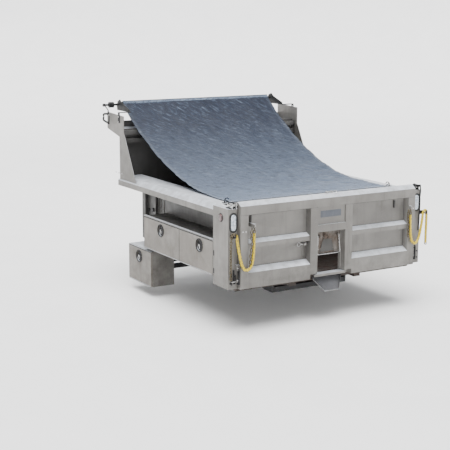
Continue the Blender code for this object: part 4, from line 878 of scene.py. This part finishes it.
def makeBodyDetail():
    bright, dark, seams = bmesh.new(), bmesh.new(), bmesh.new()
    for sideName, side in sides:
        # drip edge over the toolbox doors, seam between post and toolbox
        addBox(seams, (side * 1.19, 0.297, 0.4495), (side * 1.2235, 1.838, 0.4565), 0.001)
        addBead(seams, (side * 1.2205, 0.2935, 0.09), (side * 1.2205, 0.2935, 0.445), 0.002)
        for z in (0.296, 0.112):
            addBox(dark, (side * 1.2195, 0.270, z), (side * 1.2235, 0.286, z + 0.055), 0.002)
        # vent and filler on the recess wall ahead of the toolbox
        addRod(dark, (side * 0.930, 2.275, 0.419), (side * 0.940, 2.275, 0.419), 0.022, 24)
        addRod(dark, (side * 0.930, 2.096, 0.448), (side * 0.985, 2.096, 0.448), 0.024, 24)
        for y in (1.90, 1.97, 2.04):
            addBead(seams, (side * 0.932, y, 0.07), (side * 0.932, y, 0.70), 0.005)
        # underbody box: two short bumpers at its rear corner
        for z in (0.022, -0.012):
            addBox(dark, (side * 1.205, 1.70, z), (side * 1.2195, 1.71, z + 0.01), 0.001)
        # bolts of latch pivots, tailgate hinges, shield and roller brackets
        addBolt(bright, (side * 1.1335, -0.0425, 0.22), (0, -1, 0), 0.006)
        for y, z in ((2.53, 1.50), (2.53, 1.44)):
            addBolt(bright, (side * 1.213, y - 0.05, z), (side, 0, 0), 0.007)
        for y in (2.42, 2.50, 2.58):
            addBolt(bright, (side * 1.206, y, 0.845), (side, 0, 0), 0.006)
        for x, z in ((1.145, 0.13), (1.195, 0.13), (1.145, 0.06), (1.195, 0.06)):
            addBolt(dark, (side * x, -0.0005, z), (0, -1, 0), 0.006)
        # lip weld along the top rail's rear end
        addBead(seams, (side * 1.11, 0.0, 0.808), (side * 1.215, 0.0, 0.808), 0.003)
        addTube(
            dark,
            ((side * 1.0, 0.335, 0.816), (side * 1.03, 0.338, 0.829), (side * 1.052, 0.34, 0.842)), 0.005,
        )
    # latch cluster on each post's top: ears, cross pin, keeper ring
    for side, finish in ((-1, bright), (1, dark)):
        for x in (1.128, 1.176):
            addBox(finish, (side * x, -0.014, 0.805), (side * (x + 0.008), 0.036, 0.868), 0.002)
        addRod(finish, (side * 1.115, 0.010, 0.850), (side * 1.205, 0.010, 0.850), 0.009, 16)
        addRod(finish, (side * 1.205, 0.010, 0.850), (side * 1.222, 0.010, 0.850), 0.014, 6)
        addTube(
            dark,
            ((side * 1.15, 0.03, 0.85), (side * 1.16, 0.05, 0.868), (side * 1.19, 0.05, 0.862), (side * 1.20, 0.03, 0.835)),
            0.005,
        )
    # conduit down the right post
    addTube(
        dark,
        ((1.205, -0.006, 0.86), (1.212, -0.010, 0.80), (1.206, -0.012, 0.74), (1.208, -0.010, 0.60), (1.204, -0.008, 0.42), (1.198, -0.006, 0.36)),
        0.007,
    )
    # hanging latch rods by the left post's foot
    for x, low, high in ((-1.185, 0.045, 0.17), (-1.160, 0.055, 0.20), (-1.142, 0.07, 0.15)):
        addRod(dark, (x, -0.012, low), (x, -0.012, high), 0.006, 10)
    addRod(bright, (-1.190, -0.020, 0.080), (-1.135, -0.020, 0.080), 0.005, 10)
    place("bodyFittingsBright", bright, finishes["bright_steel"], "bright_steel", "bed")
    place("bodyFittingsDark", dark, finishes["black_steel"], "black_steel", "bed")
    place("bodySeams", seams, finishes["stainless"], "stainless", "bed")


def makeLensDetail():
    for sideName, side in sides:
        dots = bmesh.new()
        for k in range(10):
            z = 0.673 + (k // 2 - 2) * 0.028
            x = side * (1.162 + (0.010 if k % 2 else -0.010))
            addRod(dots, (x, -0.0105, z), (x, -0.0128, z), 0.0065, 16, 0.0045)
        place(f"lensDots_{sideName}", dots, finishes["clear_lens"], "clear_lens", "bed")
        bezel = bmesh.new()
        route = [
            at(side * 1.2212, 0.141 + 0.041 * math.cos(t), 0.709 + 0.041 * math.sin(t))
            for t in [2 * math.pi * k / 32 for k in range(33)]
        ]
        ringAlong(bezel, route, [0.0035] * 33, 8, closed=False)
        bmesh.ops.remove_doubles(bezel, verts=bezel.verts, dist=0.00005)
        bmesh.ops.recalc_face_normals(bezel, faces=bezel.faces)
        place(f"markerBezel_{sideName}", bezel, finishes["rubber"], "rubber", "bed")


def makeCrankGrip():
    grip = bmesh.new()
    addTube(
        grip,
        ((-1.255, 2.69, 1.519), (-1.255, 2.79, 1.508), (-1.255, 2.80, 1.47), (-1.255, 2.797, 1.437), (-1.255, 2.66, 1.412)),
        0.012, 12,
    )
    place("crankGrip", grip, finishes["rubber"], "rubber", "tarp_roller")


def makeApronEdges():
    edges = bmesh.new()
    for side in (-1, 1):
        addRod(edges, (side * 0.180, 0.025, -0.025), (side * 0.087, -0.075, -0.146), 0.0035, 8)
    addRod(edges, (-0.087, -0.0645, -0.146), (0.087, -0.0645, -0.146), 0.0035, 8)
    place("apronEdges", edges, finishes["stainless"], "stainless", "bed")


def makeHoistDetail():
    ports = bmesh.new()
    for x in (-0.02, 0.02):
        addRod(ports, (x, 1.25, -0.055), (x, 1.25, -0.035), 0.010, 6)
    place("hoistPorts", ports, finishes["bright_steel"], "bright_steel", "hoist_barrel")


def makeTarpDetail():
    rings = bmesh.new()
    for k in range(9):
        x = -0.98 + k * 0.245
        route = [at(x + 0.011 * math.cos(t), 0.325 + 0.011 * math.sin(t), 0.8205) for t in [2 * math.pi * j / 16 for j in range(17)]]
        ringAlong(rings, route, [0.0028] * 17, 6, closed=False)
    bmesh.ops.remove_doubles(rings, verts=rings.verts, dist=0.00005)
    bmesh.ops.recalc_face_normals(rings, faces=rings.faces)
    place("tarpEyelets", rings, finishes["bright_steel"], "bright_steel", "bed")


print("camera, light, floor")
makeCamera()
makeLight()
makeFloor()
print("chains")
makeChain("left")
makeChain("right")
print("carried nodes")
easedOrCarried()
print("tarp")
makeTarp()
makeTarpRoll()
makeTarpDetail()
print("details")
makeGateDetail()
makeChuteDetail()
makeDoorDetail()
makeBodyDetail()
makeLensDetail()
makeHoistDetail()
makeCrankGrip()
makeApronEdges()
